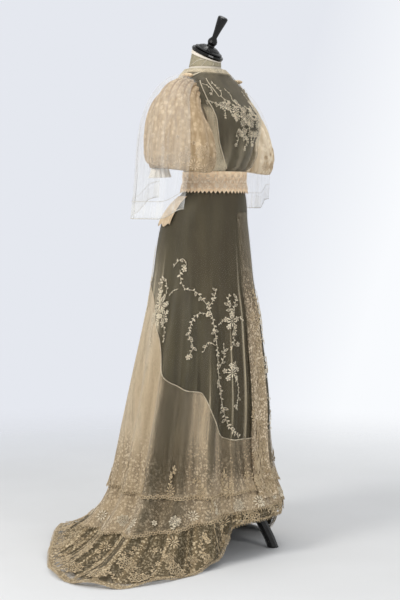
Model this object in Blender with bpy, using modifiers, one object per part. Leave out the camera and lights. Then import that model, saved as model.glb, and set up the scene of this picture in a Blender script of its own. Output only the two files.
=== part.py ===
"""A trained lace wedding dress of about 1905 on a limbless dress form with a tripod stand.

Metres, +Z up. The dress faces -Y and its train runs out along +Y. Angles round the body are in
degrees from the centre front, positive towards the wearer's left (+X).
"""

import math
from collections import namedtuple

import bmesh
import bpy
from mathutils import Matrix, Vector

# Cloth and fits
SLIP_WALL = 0.0012
NET_WALL = 0.0010
LACE_WALL = 0.0012
TOUCH = 0.0003  # clearance between pieces that touch
SIDE_SEAM = 90  # degrees from the centre front
SEAM_WIDTH = 0.4  # degrees between the front and back panels
ARMHOLE = 18  # degrees cut from each panel beside the armhole
SAME_POINT = 1e-6
SLIP_STAND_OFF = 0.0034  # of the slip bodice from the form, which clears both curves between their points
NET_LIFT = 0.0045  # of the net and lace layers from the slip's inner face
HEM_LIFT = 0.0068

# Heights
FORM_BOTTOM = 0.84
SKIRT_TOP = 1.150
KNEE = 0.270  # below this the cloth swings out to the hem
BAND_TOP = 1.186
BAND_BOTTOM = 1.122
BODICE_BOTTOM = SKIRT_TOP + 0.0012

# Where the body's axis stands, which centres the whole outline, train included
BODY_LEFT = 0.1273
BODY_FORWARD = 0.1858

# Neck of the form: the top is cut on a slope that faces forward
NECK_TOP = Vector((0.0, 0.030, 1.552))
NECK_RADIUS = 0.0465
NECK_SLOPE = math.radians(28)

Section = namedtuple("Section", "height half_width half_depth back")

FORM_SECTIONS = [
    Section(0.840, 0.140, 0.120, 0.036),
    Section(0.930, 0.147, 0.128, 0.038),
    Section(1.025, 0.135, 0.119, 0.031),
    Section(1.080, 0.119, 0.103, 0.018),
    Section(1.120, 0.104, 0.088, 0.004),
    Section(1.150, 0.101, 0.084, 0.002),
    Section(1.189, 0.106, 0.087, 0.001),
    Section(1.245, 0.120, 0.097, -0.008),
    Section(1.277, 0.128, 0.105, -0.011),
    Section(1.308, 0.135, 0.112, -0.015),
    Section(1.340, 0.140, 0.114, -0.016),
    Section(1.370, 0.144, 0.107, -0.010),
    Section(1.400, 0.148, 0.093, 0.002),
    Section(1.434, 0.151, 0.078, 0.013),
    Section(1.460, 0.143, 0.066, 0.022),
    Section(1.482, 0.118, 0.057, 0.029),
    Section(1.500, 0.078, 0.052, 0.034),
    Section(1.513, 0.052, 0.048, 0.037),
]

# Rows of the form and of the bodice layers over it
FORM_ROWS = [0.840, 0.930, 1.025, 1.120, 1.150, 1.189, 1.245, 1.290, 1.340, 1.385, 1.434, 1.465, 1.490, 1.513]
FORM_COLUMNS = 24
PANEL_COLUMNS = 13
BODICE_ROWS = [BODICE_BOTTOM, 1.189, 1.245, 1.290, 1.340, 1.385, 1.434, 1.465, 1.490, 1.506]

# The slip skirt's inner face, without its folds
SKIRT_SECTIONS = [
    Section(1.150, 0.1044, 0.0874, 0.002),
    Section(1.120, 0.1090, 0.0930, 0.004),
    Section(1.080, 0.1300, 0.1140, 0.022),
    Section(1.025, 0.1460, 0.1310, 0.038),
    Section(0.931, 0.1620, 0.1440, 0.042),
    Section(0.836, 0.1730, 0.1530, 0.043),
    Section(0.742, 0.1860, 0.1650, 0.041),
    Section(0.648, 0.1970, 0.1740, 0.043),
    Section(0.553, 0.2090, 0.1830, 0.045),
    Section(0.459, 0.2210, 0.1910, 0.049),
    Section(0.365, 0.2320, 0.1980, 0.058),
    Section(0.270, 0.2460, 0.2110, 0.064),
]

HemPoint = namedtuple("HemPoint", "angle across back height")

# Where the hem lies: raised at the front, on the floor round the train, which is spread to the wearer's right
HEM = [
    HemPoint(-180, -0.020, 0.585, 0.000),
    HemPoint(-168, -0.120, 0.535, 0.000),
    HemPoint(-156, -0.225, 0.475, 0.000),
    HemPoint(-143, -0.335, 0.400, 0.000),
    HemPoint(-130, -0.440, 0.330, 0.000),
    HemPoint(-116, -0.530, 0.250, 0.000),
    HemPoint(-104, -0.590, 0.165, 0.000),
    HemPoint(-92, -0.612, 0.070, 0.000),
    HemPoint(-82, -0.590, -0.012, 0.000),
    HemPoint(-72, -0.515, -0.066, 0.000),
    HemPoint(-62, -0.418, -0.108, 0.000),
    HemPoint(-52, -0.314, -0.136, 0.000),
    HemPoint(-43, -0.226, -0.142, 0.014),
    HemPoint(-37, -0.176, -0.137, 0.050),
    HemPoint(-32, -0.142, -0.131, 0.088),
    HemPoint(-25, -0.113, -0.166, 0.112),
    HemPoint(-18, -0.078, -0.196, 0.118),
    HemPoint(0, 0.000, -0.205, 0.118),
    HemPoint(20, 0.083, -0.190, 0.118),
    HemPoint(38, 0.140, -0.148, 0.110),
    HemPoint(50, 0.184, -0.111, 0.070),
    HemPoint(61, 0.236, -0.071, 0.018),
    HemPoint(72, 0.288, -0.020, 0.000),
    HemPoint(84, 0.330, 0.045, 0.000),
    HemPoint(96, 0.355, 0.120, 0.000),
    HemPoint(110, 0.355, 0.215, 0.000),
    HemPoint(125, 0.325, 0.315, 0.000),
    HemPoint(140, 0.262, 0.410, 0.000),
    HemPoint(155, 0.170, 0.495, 0.000),
    HemPoint(168, 0.075, 0.555, 0.000),
    HemPoint(180, -0.020, 0.585, 0.000),
]

Fold = namedtuple("Fold", "angle depth")

# The skirt's flutes: where each ridge runs, and how far it stands out by the knee
FOLDS = [
    Fold(-166, 0.028),
    Fold(-139, 0.034),
    Fold(-112, 0.024),
    Fold(-90, 0.034),
    Fold(-68, 0.026),
    Fold(-48, 0.031),
    Fold(-29, 0.016),
    Fold(-10, 0.010),
    Fold(11, 0.012),
    Fold(31, 0.018),
    Fold(52, 0.017),
    Fold(76, 0.020),
    Fold(104, 0.026),
    Fold(136, 0.032),
]
STEPS_PER_FOLD = 4
SKIRT_ROWS = [0.0, 0.10, 0.25, 0.50, 0.75, 1.0, 1.25, 1.50, 1.70, 1.88, 2.0]  # 0 waist, 1 knee, 2 hem
SLIP_END = 1.88
NEAR_EDGE = 0.03  # a shared row this near to an edge moves onto it
SEAM_GAP = 0.0026  # between the net and the flounce below it, along the skirt
FOLD_START = 0.93  # height where the flutes begin
FOLD_FULL = 0.36  # height where they are at their full depth

Tier = namedtuple("Tier", "angle seam upper_hem middle_hem")

# Heights of the flounce seam and the two upper hems round the skirt, as drops from the knee where below it
TIERS = [
    Tier(0, 0.365, 0.205, 0.150),
    Tier(20, 0.365, 0.205, 0.150),
    Tier(36, 0.377, 0.205, 0.145),
    Tier(46, 0.434, 0.203, 0.135),
    Tier(57, 0.515, 0.200, 0.120),
    Tier(71, 0.525, 0.200, 0.105),
    Tier(83, 0.542, 0.200, 0.095),
    Tier(92, 0.572, 0.200, 0.090),
    Tier(106, 0.690, 0.200, 0.085),
    Tier(120, 0.790, 0.200, 0.080),
    Tier(150, 0.850, 0.200, 0.075),
    Tier(180, 0.860, 0.200, 0.070),
]

Ring = namedtuple("Ring", "out back height across deep tilt droop")

# The puffed sleeve from armhole to cuff; tilt 0 faces sideways, 90 faces down. droop lowers its front
SLEEVE_RINGS = [
    Ring(0.157, 0.012, 1.400, 0.067, 0.050, -8, 0.000),
    Ring(0.174, 0.012, 1.391, 0.075, 0.062, 18, 0.000),
    Ring(0.207, 0.006, 1.358, 0.081, 0.084, 47, 0.004),
    Ring(0.222, -0.004, 1.308, 0.080, 0.107, 72, 0.008),
    Ring(0.230, -0.012, 1.246, 0.080, 0.115, 90, 0.016),
    Ring(0.226, -0.006, 1.196, 0.068, 0.100, 92, 0.016),
    Ring(0.222, 0.064, 1.198, 0.030, 0.028, 94, 0.000),
]
ARMHOLE_OUT = 0.157
SLEEVE_GATHERS = 14
GATHER_DEPTH = 0.0030

# The net cape sleeve over it, from the shoulder to its hem
CAPE_RINGS = [
    Ring(0.158, 0.012, 1.400, 0.0704, 0.0568, -7, 0.000),
    Ring(0.178, 0.012, 1.393, 0.086, 0.077, 18, 0.000),
    Ring(0.210, 0.008, 1.358, 0.094, 0.099, 47, 0.000),
    Ring(0.228, 0.002, 1.306, 0.093, 0.119, 72, 0.000),
    Ring(0.236, 0.002, 1.208, 0.093, 0.127, 90, 0.000),
    Ring(0.244, 0.014, 1.042, 0.100, 0.123, 90, 0.000),
]
CAPE_FRONT_EDGE = 136  # degrees round the ring, 90 outermost and 180 in front
CAPE_BACK_EDGE = -46
CAPE_WAVES = 4
CAPE_WAVE_DEPTH = 0.007
CAPE_HEM_RISE = 0.065  # how much higher the hem hangs at its inner back edge
CAPE_CORNER_RISE = 0.030  # and at its front corner

# The right sleeve is spread full and forward; the left one hangs closer and further back
SideFit = namedtuple("SideFit", "direction fullness back hem snug")
SIDES = {"right": SideFit(-1, 1.00, 0.000, 0.000, 0.0010), "left": SideFit(1, 0.79, 0.016, 0.030, 0.0)}

BAND_TEETH = 30
BAND_TOOTH_DEPTH = 0.009
PEPLUM_FRONT = 104  # degrees from the centre front
PEPLUM_TOP = 0.048  # as a drop, under the belt
PEPLUM_BOTTOM = 1.020
PEPLUM_SCALLOP = 0.005

GORE_HALF_ANGLE = 11.5
GORE_TOP = 0.10  # as drops
GORE_BOTTOM = 1.60
HOLE_ROOM = 0.026  # the least side of a cell that is cut through
HOLE_TWIST = 0.011  # the most that such a cell may be out of flat
HOLE_MARGIN = 0.0095  # of solid lace round each cut-out in the hem
LEG_ANGLES = (25, -95, 145)
LEG_THICK = 0.0165
FOOT_REACH = 0.187
HUB_RADIUS = 0.036
HUB_TOP = 0.250
POLE_RADIUS = 0.016

COLOURS = {
    "dark_satin": (0.085, 0.072, 0.052, 0.55, 0.0),
    "cream_net": (0.62, 0.52, 0.38, 0.85, 0.0),
    "cream_lace": (0.60, 0.47, 0.33, 0.85, 0.0),
    "sheer_net": (0.80, 0.78, 0.72, 0.80, 0.0),
    "form_jersey": (0.70, 0.62, 0.54, 0.90, 0.0),
    "black_lacquer": (0.010, 0.008, 0.007, 0.18, 0.0),
}


def clear_scene():
    for obj in list(bpy.data.objects):
        bpy.data.objects.remove(obj, do_unlink=True)


def material(name):
    found = bpy.data.materials.get(name)
    if found:
        return found
    red, green, blue, rough, metal = COLOURS[name]
    made = bpy.data.materials.new(name)
    made.use_nodes = True
    shader = made.node_tree.nodes["Principled BSDF"]
    shader.inputs["Base Color"].default_value = (red, green, blue, 1)
    shader.inputs["Roughness"].default_value = rough
    shader.inputs["Metallic"].default_value = metal
    return made


def read(table, key, value, column):
    """A column of a table at any value of its key, on a smooth curve through the rows."""
    rows = sorted(table, key=lambda row: getattr(row, key))
    keys = [getattr(row, key) for row in rows]
    values = [getattr(row, column) for row in rows]
    value = min(max(value, keys[0]), keys[-1])
    last = len(keys) - 1
    i = max(k for k in range(last) if keys[k] <= value)
    width = keys[i + 1] - keys[i]

    def rise(k):
        return (values[k + 1] - values[k]) / (keys[k + 1] - keys[k])

    def slope(k):
        if k in (0, last):
            return 0.0 if key == "angle" else rise(min(k, last - 1))
        before, after = rise(k - 1), rise(k)
        return 0.0 if before * after <= 0 else 2 * before * after / (before + after)

    t = (value - keys[i]) / width
    a, b = values[i], values[i + 1]
    h1 = 2 * t**3 - 3 * t**2 + 1
    h2 = t**3 - 2 * t**2 + t
    h3 = -2 * t**3 + 3 * t**2
    h4 = t**3 - t**2
    return h1 * a + h2 * width * slope(i) + h3 * b + h4 * width * slope(i + 1)


def ease(low, high, value):
    t = min(max((value - low) / (high - low), 0.0), 1.0)
    return t * t * (3 - 2 * t)


def on_section(table, height, angle, grow=0.0):
    """The point on a table's ellipse at a height, moved out by grow."""
    wide = read(table, "height", height, "half_width") + grow
    deep = read(table, "height", height, "half_depth") + grow
    back = read(table, "height", height, "back")
    turn = math.radians(angle)
    return Vector((wide * math.sin(turn), back - deep * math.cos(turn), height))


def add_object(name, mesh, finish):
    obj = bpy.data.objects.new(name, mesh)
    mesh.materials.append(material(finish))
    bpy.data.collections["dress_on_form"].objects.link(obj)
    obj.parent = bpy.data.objects["body_centre"]
    return obj


def sheet(name, rows, finish, thick, loop=True, holes=()):
    """A cloth wall through rows of points, thickened outwards.

    holes are the (row, column) cells that are cut through.
    """
    mesh = bpy.data.meshes.new(name)
    bm = bmesh.new()
    grid = []
    for row in rows:
        above = grid[-1] if grid else [None] * len(row)
        grid.append([up if up and (up.co - p).length < SAME_POINT else bm.verts.new(p)
                     for up, p in zip(above, row)])
    count = len(rows[0])
    for r in range(len(grid) - 1):
        for c in range(count if loop else count - 1):
            d = (c + 1) % count
            corners = (grid[r][c], grid[r + 1][c], grid[r + 1][d], grid[r][d])
            if (r, c) in holes:
                frame_hole(bm, corners)
                continue
            for three in (corners[:3], (corners[0], corners[2], corners[3])):
                if len(set(three)) == 3:
                    bm.faces.new(three)
    bm.normal_update()
    bm.to_mesh(mesh)
    bm.free()
    mesh.shade_smooth()
    obj = add_object(name, mesh, finish)
    wall = obj.modifiers.new("wall", "SOLIDIFY")
    wall.thickness = thick
    wall.offset = 1
    wall.use_even_offset = False
    return obj


def frame_hole(bm, corners):
    """Four strips of lace round a cut-out, in place of a cell."""
    middle = sum((corner.co for corner in corners), Vector()) / 4
    inner = []
    for corner in corners:
        across = (corner.co - middle).length
        inner.append(bm.verts.new(corner.co.lerp(middle, min(HOLE_MARGIN * 1.4 / across, 0.7))))
    for k in range(4):
        n = (k + 1) % 4
        bm.faces.new((corners[k], corners[n], inner[n], inner[k]))


def turned(name, profile, finish, segments=20):
    """A turned solid from (radius, height) pairs that run down its outer side, closed on the axis."""
    mesh = bpy.data.meshes.new(name)
    bm = bmesh.new()
    points = [bm.verts.new((radius, 0, height)) for radius, height in profile]
    for a, b in zip(points, points[1:]):
        bm.edges.new((a, b))
    bm.to_mesh(mesh)
    bm.free()
    obj = add_object(name, mesh, finish)
    screw = obj.modifiers.new("turn", "SCREW")
    screw.steps = screw.render_steps = segments
    screw.use_merge_vertices = True
    screw.merge_threshold = 0.00005
    return obj


# Skirt surface

def fold_angles():
    """The columns of the skirt: each ridge, each valley between two, and the steps between them."""
    angles = []
    for k, fold in enumerate(FOLDS):
        following = FOLDS[(k + 1) % len(FOLDS)].angle
        if following < fold.angle:
            following += 360
        for step in range(STEPS_PER_FOLD):
            angles.append(fold.angle + (following - fold.angle) * step / STEPS_PER_FOLD)
    return [(a + 180) % 360 - 180 for a in angles]


def fold_rise(angle):
    """How far the flutes stand out at an angle, at full depth: a ridge is 1 fold deep and a valley 0."""
    angle = (angle - FOLDS[0].angle) % 360 + FOLDS[0].angle  # within one turn from the first ridge
    ridges = FOLDS + [Fold(FOLDS[0].angle + 360, FOLDS[0].depth)]
    k = max(i for i in range(len(FOLDS)) if ridges[i].angle <= angle + 1e-9)
    share = (angle - ridges[k].angle) / (ridges[k + 1].angle - ridges[k].angle)
    depth = ridges[k].depth if share < 0.5 else ridges[k + 1].depth
    return depth * (0.5 + 0.5 * math.cos(2 * math.pi * share))


def hem_point(angle):
    angle = (angle + 180) % 360 - 180
    return Vector([read(HEM, "angle", angle, column) for column in ("across", "back", "height")])


def skirt_base(angle, drop):
    """The skirt without folds. drop is 0 at the waist, 1 at the knee and 2 at the hem."""
    fall = SKIRT_TOP - KNEE
    if drop <= 1:
        return on_section(SKIRT_SECTIONS, SKIRT_TOP - fall * drop, angle)
    start = on_section(SKIRT_SECTIONS, KNEE, angle)
    slope = (start - on_section(SKIRT_SECTIONS, KNEE + 0.03, angle)).normalized()
    end = hem_point(angle)
    span = (end - start).length
    on_floor = 1 - ease(0.0, 0.10, end.z)
    hang = end - slope * span * 0.3
    lie = Vector((end.x + 0.42 * (start.x - end.x), end.y + 0.42 * (start.y - end.y), end.z))
    first = start + slope * span * 0.48
    first.z = max(first.z, 0.05)
    second = hang.lerp(lie, on_floor)
    t = drop - 1
    return (start * (1 - t) ** 3 + first * 3 * t * (1 - t) ** 2
            + second * 3 * t**2 * (1 - t) + end * t**3)


def skirt_normal(angle, drop):
    small = 0.01
    low, high = max(drop - small, 0.0), min(drop + small, 2.0)
    around = skirt_base(angle + 0.5, drop) - skirt_base(angle - 0.5, drop)
    along = skirt_base(angle, high) - skirt_base(angle, low)
    return along.cross(around).normalized()


def fold_point(angle, drop):
    """The skirt with its folds, and the direction that its layers stand off in."""
    growth = ease(SKIRT_TOP - FOLD_START, SKIRT_TOP - FOLD_FULL, (SKIRT_TOP - KNEE) * min(drop, 1.0))
    settle = 1 - 0.55 * ease(1.55, 2.0, drop)
    normal = skirt_normal(angle, drop)
    return skirt_base(angle, drop) + normal * fold_rise(angle) * growth * settle, normal


def skirt_point(angle, drop, lift=0.0):
    """A point on the straight runs between the shared rows, so every layer's edge lies on the same cloth."""
    row = min(max(k for k, start in enumerate(SKIRT_ROWS) if start <= drop), len(SKIRT_ROWS) - 2)
    share = (drop - SKIRT_ROWS[row]) / (SKIRT_ROWS[row + 1] - SKIRT_ROWS[row])
    upper, upper_normal = fold_point(angle, SKIRT_ROWS[row])
    lower, lower_normal = fold_point(angle, SKIRT_ROWS[row + 1])
    return upper.lerp(lower, share) + upper_normal.lerp(lower_normal, share) * lift


def drop_at(angle, height):
    """The drop at which the skirt first comes down to a height."""
    low, high = 0.0, 2.0
    for _ in range(20):
        middle = (low + high) / 2
        if skirt_point(angle, middle).z > height:
            low = middle
        else:
            high = middle
    return low


def skirt_rows(top, bottom, lifts, angles):
    """Rows of skirt points from a top edge to a bottom edge, each a drop for every angle.

    Between the edges they keep to the rows that all the layers share, so that no layer cuts another.
    lifts holds the lift at the top edge, half way down and at the bottom edge, or gives it for any drop.
    """
    columns = []
    for angle in angles:
        first, last = top(angle), bottom(angle)
        column = []
        for drop in SKIRT_ROWS:
            if drop - first < NEAR_EDGE:
                drop = first
            elif last - drop < NEAR_EDGE:
                drop = last
            lift = lifts(drop) if callable(lifts) else lift_at(lifts, (drop - first) / (last - first))
            column.append(skirt_point(angle, drop, lift))
        columns.append(column)
    rows = [[column[r] for column in columns] for r in range(len(SKIRT_ROWS))]
    used = [r for r, row in enumerate(rows)
            if r == 0 or any((p - q).length > SAME_POINT for p, q in zip(row, rows[r - 1]))]
    return [rows[r] for r in used]


def hem_lift(drop):
    """The lace hem lies over the slip, and past the slip's edge it comes down to the floor."""
    return HEM_LIFT if drop <= SLIP_END else HEM_LIFT * (2.0 - drop) / (2.0 - SLIP_END)


def lift_at(lifts, share):
    upper, middle, lower = lifts
    if share < 0.5:
        return upper + (middle - upper) * share * 2
    return middle + (lower - middle) * (share * 2 - 1)


def level(drop):
    return lambda angle: drop


def tier_edge(column, shift=0.0):
    return lambda angle: drop_at(angle, read(TIERS, "angle", abs(angle), column) + shift)


# Dress form

def form_torso():
    around = [360 * k / FORM_COLUMNS for k in range(FORM_COLUMNS)]
    mesh = bpy.data.meshes.new("form_torso")
    bm = bmesh.new()
    rows = [[on_section(FORM_SECTIONS, height, angle) for angle in around] for height in FORM_ROWS]
    rows.append([neck_point(angle, NECK_RADIUS, 0.0) for angle in around])
    grid = [[bm.verts.new(p) for p in row] for row in rows]
    for low, high in zip(grid, grid[1:]):
        for c in range(FORM_COLUMNS):
            d = (c + 1) % FORM_COLUMNS
            bm.faces.new((low[c], low[d], high[d], high[c]))
    bm.faces.new(list(reversed(grid[0])))
    bm.faces.new(grid[-1])
    bm.to_mesh(mesh)
    bm.free()
    mesh.shade_smooth()
    add_object("form_torso", mesh, "form_jersey")


def neck_point(angle, radius, above):
    """A point on the neck's sloping top ring, or above it along the neck's own axis."""
    turn = math.radians(angle)
    flat = Vector((radius * math.sin(turn), -radius * math.cos(turn), above))
    return NECK_TOP + Matrix.Rotation(NECK_SLOPE, 3, "X") @ flat


def form_top():
    """The turned cap on the sloping neck, and its flared handle."""
    cap = turned("form_neck_cap", [(0.0, 0.0290), (0.0130, 0.0290), (0.0230, 0.0272), (0.0330, 0.0220),
                                   (0.0370, 0.0180), (0.0430, 0.0165), (0.0455, 0.0135), (0.0440, 0.0105),
                                   (0.0510, 0.0095), (0.0530, 0.0050), (0.0510, 0.0), (0.0, 0.0)],
                 "black_lacquer")
    handle = turned("form_handle", [(0.0, 0.1275), (0.0120, 0.1270), (0.0158, 0.1245), (0.0162, 0.1190),
                                    (0.0140, 0.1030), (0.0105, 0.0810), (0.0080, 0.0590), (0.0100, 0.0550),
                                    (0.0145, 0.0480), (0.0155, 0.0410), (0.0120, 0.0330), (0.0125, 0.0293),
                                    (0.0, 0.0293)],
                    "black_lacquer", 16)
    for obj in (cap, handle):
        obj.rotation_euler = (NECK_SLOPE, 0, 0)
        obj.location = NECK_TOP + Matrix.Rotation(NECK_SLOPE, 3, "X") @ Vector((0, 0, TOUCH))


def form_stand():
    """Pole, turned hub with its drop, and three curved legs cut flat where they stand."""
    top, bottom = FORM_BOTTOM - TOUCH, HUB_TOP + TOUCH
    turned("form_pole", [(0.0, top), (POLE_RADIUS, top), (POLE_RADIUS, bottom), (0.0, bottom)],
           "black_lacquer", 16)
    turned("form_hub", [(0.0, HUB_TOP), (0.019, HUB_TOP), (0.026, 0.235), (0.024, 0.222), (HUB_RADIUS, 0.208),
                        (HUB_RADIUS, 0.140), (0.024, 0.126), (0.014, 0.100), (0.013, 0.070), (0.026, 0.056),
                        (0.033, 0.040), (0.030, 0.024), (0.018, 0.010), (0.0, 0.008)], "black_lacquer", 16)
    for number, angle in enumerate(LEG_ANGLES, 1):
        form_leg(f"form_leg_{number}", angle)


def form_leg(name, angle):
    """One leg: a thick rod that leaves the hub, bows down and ends in a flat-cut foot."""
    route = [(HUB_RADIUS + TOUCH, 0.176), (0.062, 0.176), (0.098, 0.160), (0.128, 0.122), (0.152, 0.074),
             (0.174, 0.030), (FOOT_REACH, -0.004), (FOOT_REACH + 0.004, -0.020)]
    curve = bpy.data.curves.new(name + "_line", "CURVE")
    curve.dimensions = "3D"
    curve.bevel_depth = LEG_THICK
    curve.bevel_resolution = 2
    curve.use_fill_caps = True
    line = curve.splines.new("POLY")
    line.points.add(len(route) - 1)
    turn = math.radians(angle)
    for point, (reach, height) in zip(line.points, route):
        point.co = (reach * math.sin(turn), -reach * math.cos(turn), height, 1)
    rod = bpy.data.objects.new(name + "_line", curve)
    bpy.context.scene.collection.objects.link(rod)
    bpy.context.view_layer.update()
    mesh = bpy.data.meshes.new_from_object(rod.evaluated_get(bpy.context.evaluated_depsgraph_get()))
    bpy.data.objects.remove(rod)
    bm = bmesh.new()
    bm.from_mesh(mesh)
    bmesh.ops.remove_doubles(bm, verts=bm.verts, dist=0.0001)
    cut = bmesh.ops.bisect_plane(bm, geom=bm.verts[:] + bm.edges[:] + bm.faces[:], plane_co=(0, 0, 0),
                                 plane_no=(0, 0, -1), clear_outer=True)
    rim = [e for e in cut["geom_cut"] if isinstance(e, bmesh.types.BMEdge)]
    bmesh.ops.edgeloop_fill(bm, edges=rim)
    bmesh.ops.recalc_face_normals(bm, faces=bm.faces)
    bm.to_mesh(mesh)
    bm.free()
    mesh.materials.clear()
    mesh.name = name
    add_object(name, mesh, "black_lacquer")


# Bodice

def panel_angles(height, front):
    """The columns of a front or back panel, which the side seam, armhole and shoulder seam bound."""
    armhole = ARMHOLE * ease(1.245, 1.340, height) * (1 - ease(1.434, 1.490, height))
    edge = (SIDE_SEAM if front else 180 - SIDE_SEAM - SEAM_WIDTH) - armhole
    centre = 0 if front else 180
    return [centre - edge + 2 * edge * k / (PANEL_COLUMNS - 1) for k in range(PANEL_COLUMNS)]


def bodice_panel(name, front, heights, grow, finish, thick):
    """A front or back bodice panel over the form; grow is how far it stands off at each height."""
    rows = []
    for height in heights:
        rows.append([on_section(FORM_SECTIONS, height, angle, grow(height)) for angle in
                     panel_angles(height, front)])
    rows.reverse()
    return sheet(name, rows, finish, thick, loop=False)


def slip_bodice():
    for name, front in (("slip_front", True), ("slip_back", False)):
        bodice_panel(name, front, BODICE_ROWS, lambda height: SLIP_STAND_OFF, "dark_satin", SLIP_WALL)


def net_stand_off(height):
    """The net bodice lies close at the waist and shoulders, and pouches over the belt."""
    pouch = ease(1.310, 1.225, height) * (1 - ease(1.203, 1.189, height))
    bust = ease(1.480, 1.385, height) * (1 - ease(1.245, 1.200, height))
    shoulder = ease(1.440, 1.490, height)
    return SLIP_STAND_OFF + SLIP_WALL + 0.0016 + 0.0040 * bust + 0.0150 * pouch + 0.0030 * shoulder


def net_bodice():
    heights = BODICE_ROWS[:2] + [1.203, 1.222] + BODICE_ROWS[2:-1] + [1.505]
    bodice_panel("bodice_front", True, heights, net_stand_off, "sheer_net", NET_WALL)
    bodice_panel("bodice_back", False, heights, net_stand_off, "sheer_net", NET_WALL)


def collar():
    """The high boned collar, open at the top, and the band that finishes it."""
    around = [360 * k / FORM_COLUMNS for k in range(FORM_COLUMNS)]

    def ring(share, grow):
        low = [on_section(FORM_SECTIONS, FORM_ROWS[-1], angle, grow) for angle in around]
        high = [neck_point(angle, NECK_RADIUS + grow, 0.0) for angle in around]
        return [a.lerp(b, share) for a, b in zip(low, high)]

    stand = 0.0006
    sheet("collar", [ring(0.98, stand), ring(0.5, stand), ring(0.02, stand)], "cream_net", NET_WALL)
    outer = stand + NET_WALL + 0.0005
    sheet("collar_band", [ring(0.97, outer), ring(0.76, outer)], "cream_lace", LACE_WALL)


# Sleeves

def ring_point(ring, turn, side, swell=0.0, at_armhole=False):
    """A point round a sleeve ring. turn 90 is the top or outer side, 0 the back and 180 the front."""
    fit = SIDES[side]
    full = 1.0 if at_armhole else fit.fullness
    tilt = math.radians(ring.tilt)
    angle = math.radians(turn)
    up = Vector((-math.sin(tilt), 0, math.cos(tilt)))
    out = ARMHOLE_OUT + (ring.out - ARMHOLE_OUT) * full
    centre = Vector((-out, ring.back + (0 if at_armhole else fit.back), ring.height))
    point = (centre + Vector((0, 1, 0)) * (ring.deep * full + swell) * math.cos(angle)
             + up * (ring.across * full + swell) * math.sin(angle))
    point.z += ring.droop * math.cos(angle)
    return Vector((-fit.direction * point.x, point.y, point.z))


def facing_out(rows, side):
    """Rows whose faces point outwards on either side of the body."""
    return rows if side == "right" else [list(reversed(row)) for row in rows]


def puffed_sleeve(side):
    count = SLEEVE_GATHERS * 2
    rows = []
    for k, ring in enumerate(SLEEVE_RINGS):
        gather = GATHER_DEPTH / 2 * (0.35 if k in (0, len(SLEEVE_RINGS) - 1) else 1.0)
        rows.append([ring_point(ring, 360 * c / count, side, gather if c % 2 else -gather, k == 0)
                     for c in range(count)])
    sheet(f"sleeve_{side}", facing_out(rows, side), "cream_lace", LACE_WALL)


def sleeve_frill(side):
    """The pleated frill that hangs in the cuff."""
    cuff = SLEEVE_RINGS[-1]
    count = 24
    rows = []
    for drop, grow in ((0.001, -0.0029), (0.016, -0.001), (0.031, 0.003)):
        row = []
        for c in range(count):
            wave = (0.0006 + 0.10 * drop) * (1 if c % 2 else -1)
            point = ring_point(cuff, 360 * c / count, side, grow + wave)
            row.append(point - Vector((0, 0, drop)))
        rows.append(row)
    sheet(f"sleeve_frill_{side}", facing_out(rows, side), "sheer_net", NET_WALL)


def cape_sleeve(side):
    count = CAPE_WAVES * 4 + 1
    rows = []
    for k, ring in enumerate(CAPE_RINGS):
        low = k / (len(CAPE_RINGS) - 1)
        row = []
        for c in range(count):
            share = c / (count - 1)
            back_edge = CAPE_BACK_EDGE * (0.3 + 0.7 * ease(0.1, 0.8, low))
            turn = back_edge + (CAPE_FRONT_EDGE - back_edge) * share
            wave = CAPE_WAVE_DEPTH * ease(0.45, 1.0, low) * math.sin(2 * math.pi * CAPE_WAVES * share)
            point = ring_point(ring, turn, side, -SIDES[side].snug if k == 0 else wave, k == 0)
            rise = CAPE_HEM_RISE * (1 - ease(0.0, 0.38, share)) + CAPE_CORNER_RISE * ease(0.80, 1.0, share)
            point.z += ease(0.55, 1.0, low) * (rise + SIDES[side].hem)
            row.append(point)
        rows.append(row)
    sheet(f"oversleeve_{side}", facing_out(rows, side), "sheer_net", NET_WALL, loop=False)


def sleeve_head(side):
    """The gathered knot of lace that stands on the shoulder seam."""
    place = Vector((SIDES[side].direction * 0.1535, 0.008, 1.4793))
    mesh = bpy.data.meshes.new(f"sleeve_head_{side}")
    bm = bmesh.new()
    bmesh.ops.create_uvsphere(bm, u_segments=12, v_segments=6, radius=1.0)
    for vert in bm.verts:
        turn = math.atan2(vert.co.y, vert.co.x)
        lobe = 1 + 0.10 * math.cos(6 * turn) * (1 - vert.co.z**2)
        vert.co = Vector((vert.co.x * 0.0130 * lobe, vert.co.y * 0.0190 * lobe, vert.co.z * 0.0090)) + place
    bm.to_mesh(mesh)
    bm.free()
    mesh.shade_smooth()
    add_object(f"sleeve_head_{side}", mesh, "cream_lace")


# Belt

def waistband():
    """The wide lace belt over the waist seam: its lower edge is cut in teeth."""
    count = BAND_TEETH * 2
    clear = NET_WALL + 0.0012
    rows = []
    levels = ((BAND_TOP, 0.0, 0.0), (1.153, 0.0008, 0.0), (BAND_BOTTOM, 0.0022, BAND_TOOTH_DEPTH))
    for height, flare, tooth in levels:
        row = []
        for c in range(count):
            at = height + (tooth / 2 if c % 2 else -tooth / 2)
            angle = 360 * c / count
            if at > SKIRT_TOP:
                row.append(on_section(FORM_SECTIONS, at, angle, net_stand_off(at) + clear + flare))
            else:
                row.append(skirt_point(angle, drop_at(angle, at), NET_LIFT + clear + flare))
        rows.append(row)
    sheet("waistband", rows, "cream_lace", LACE_WALL)


# Skirt layers

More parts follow.
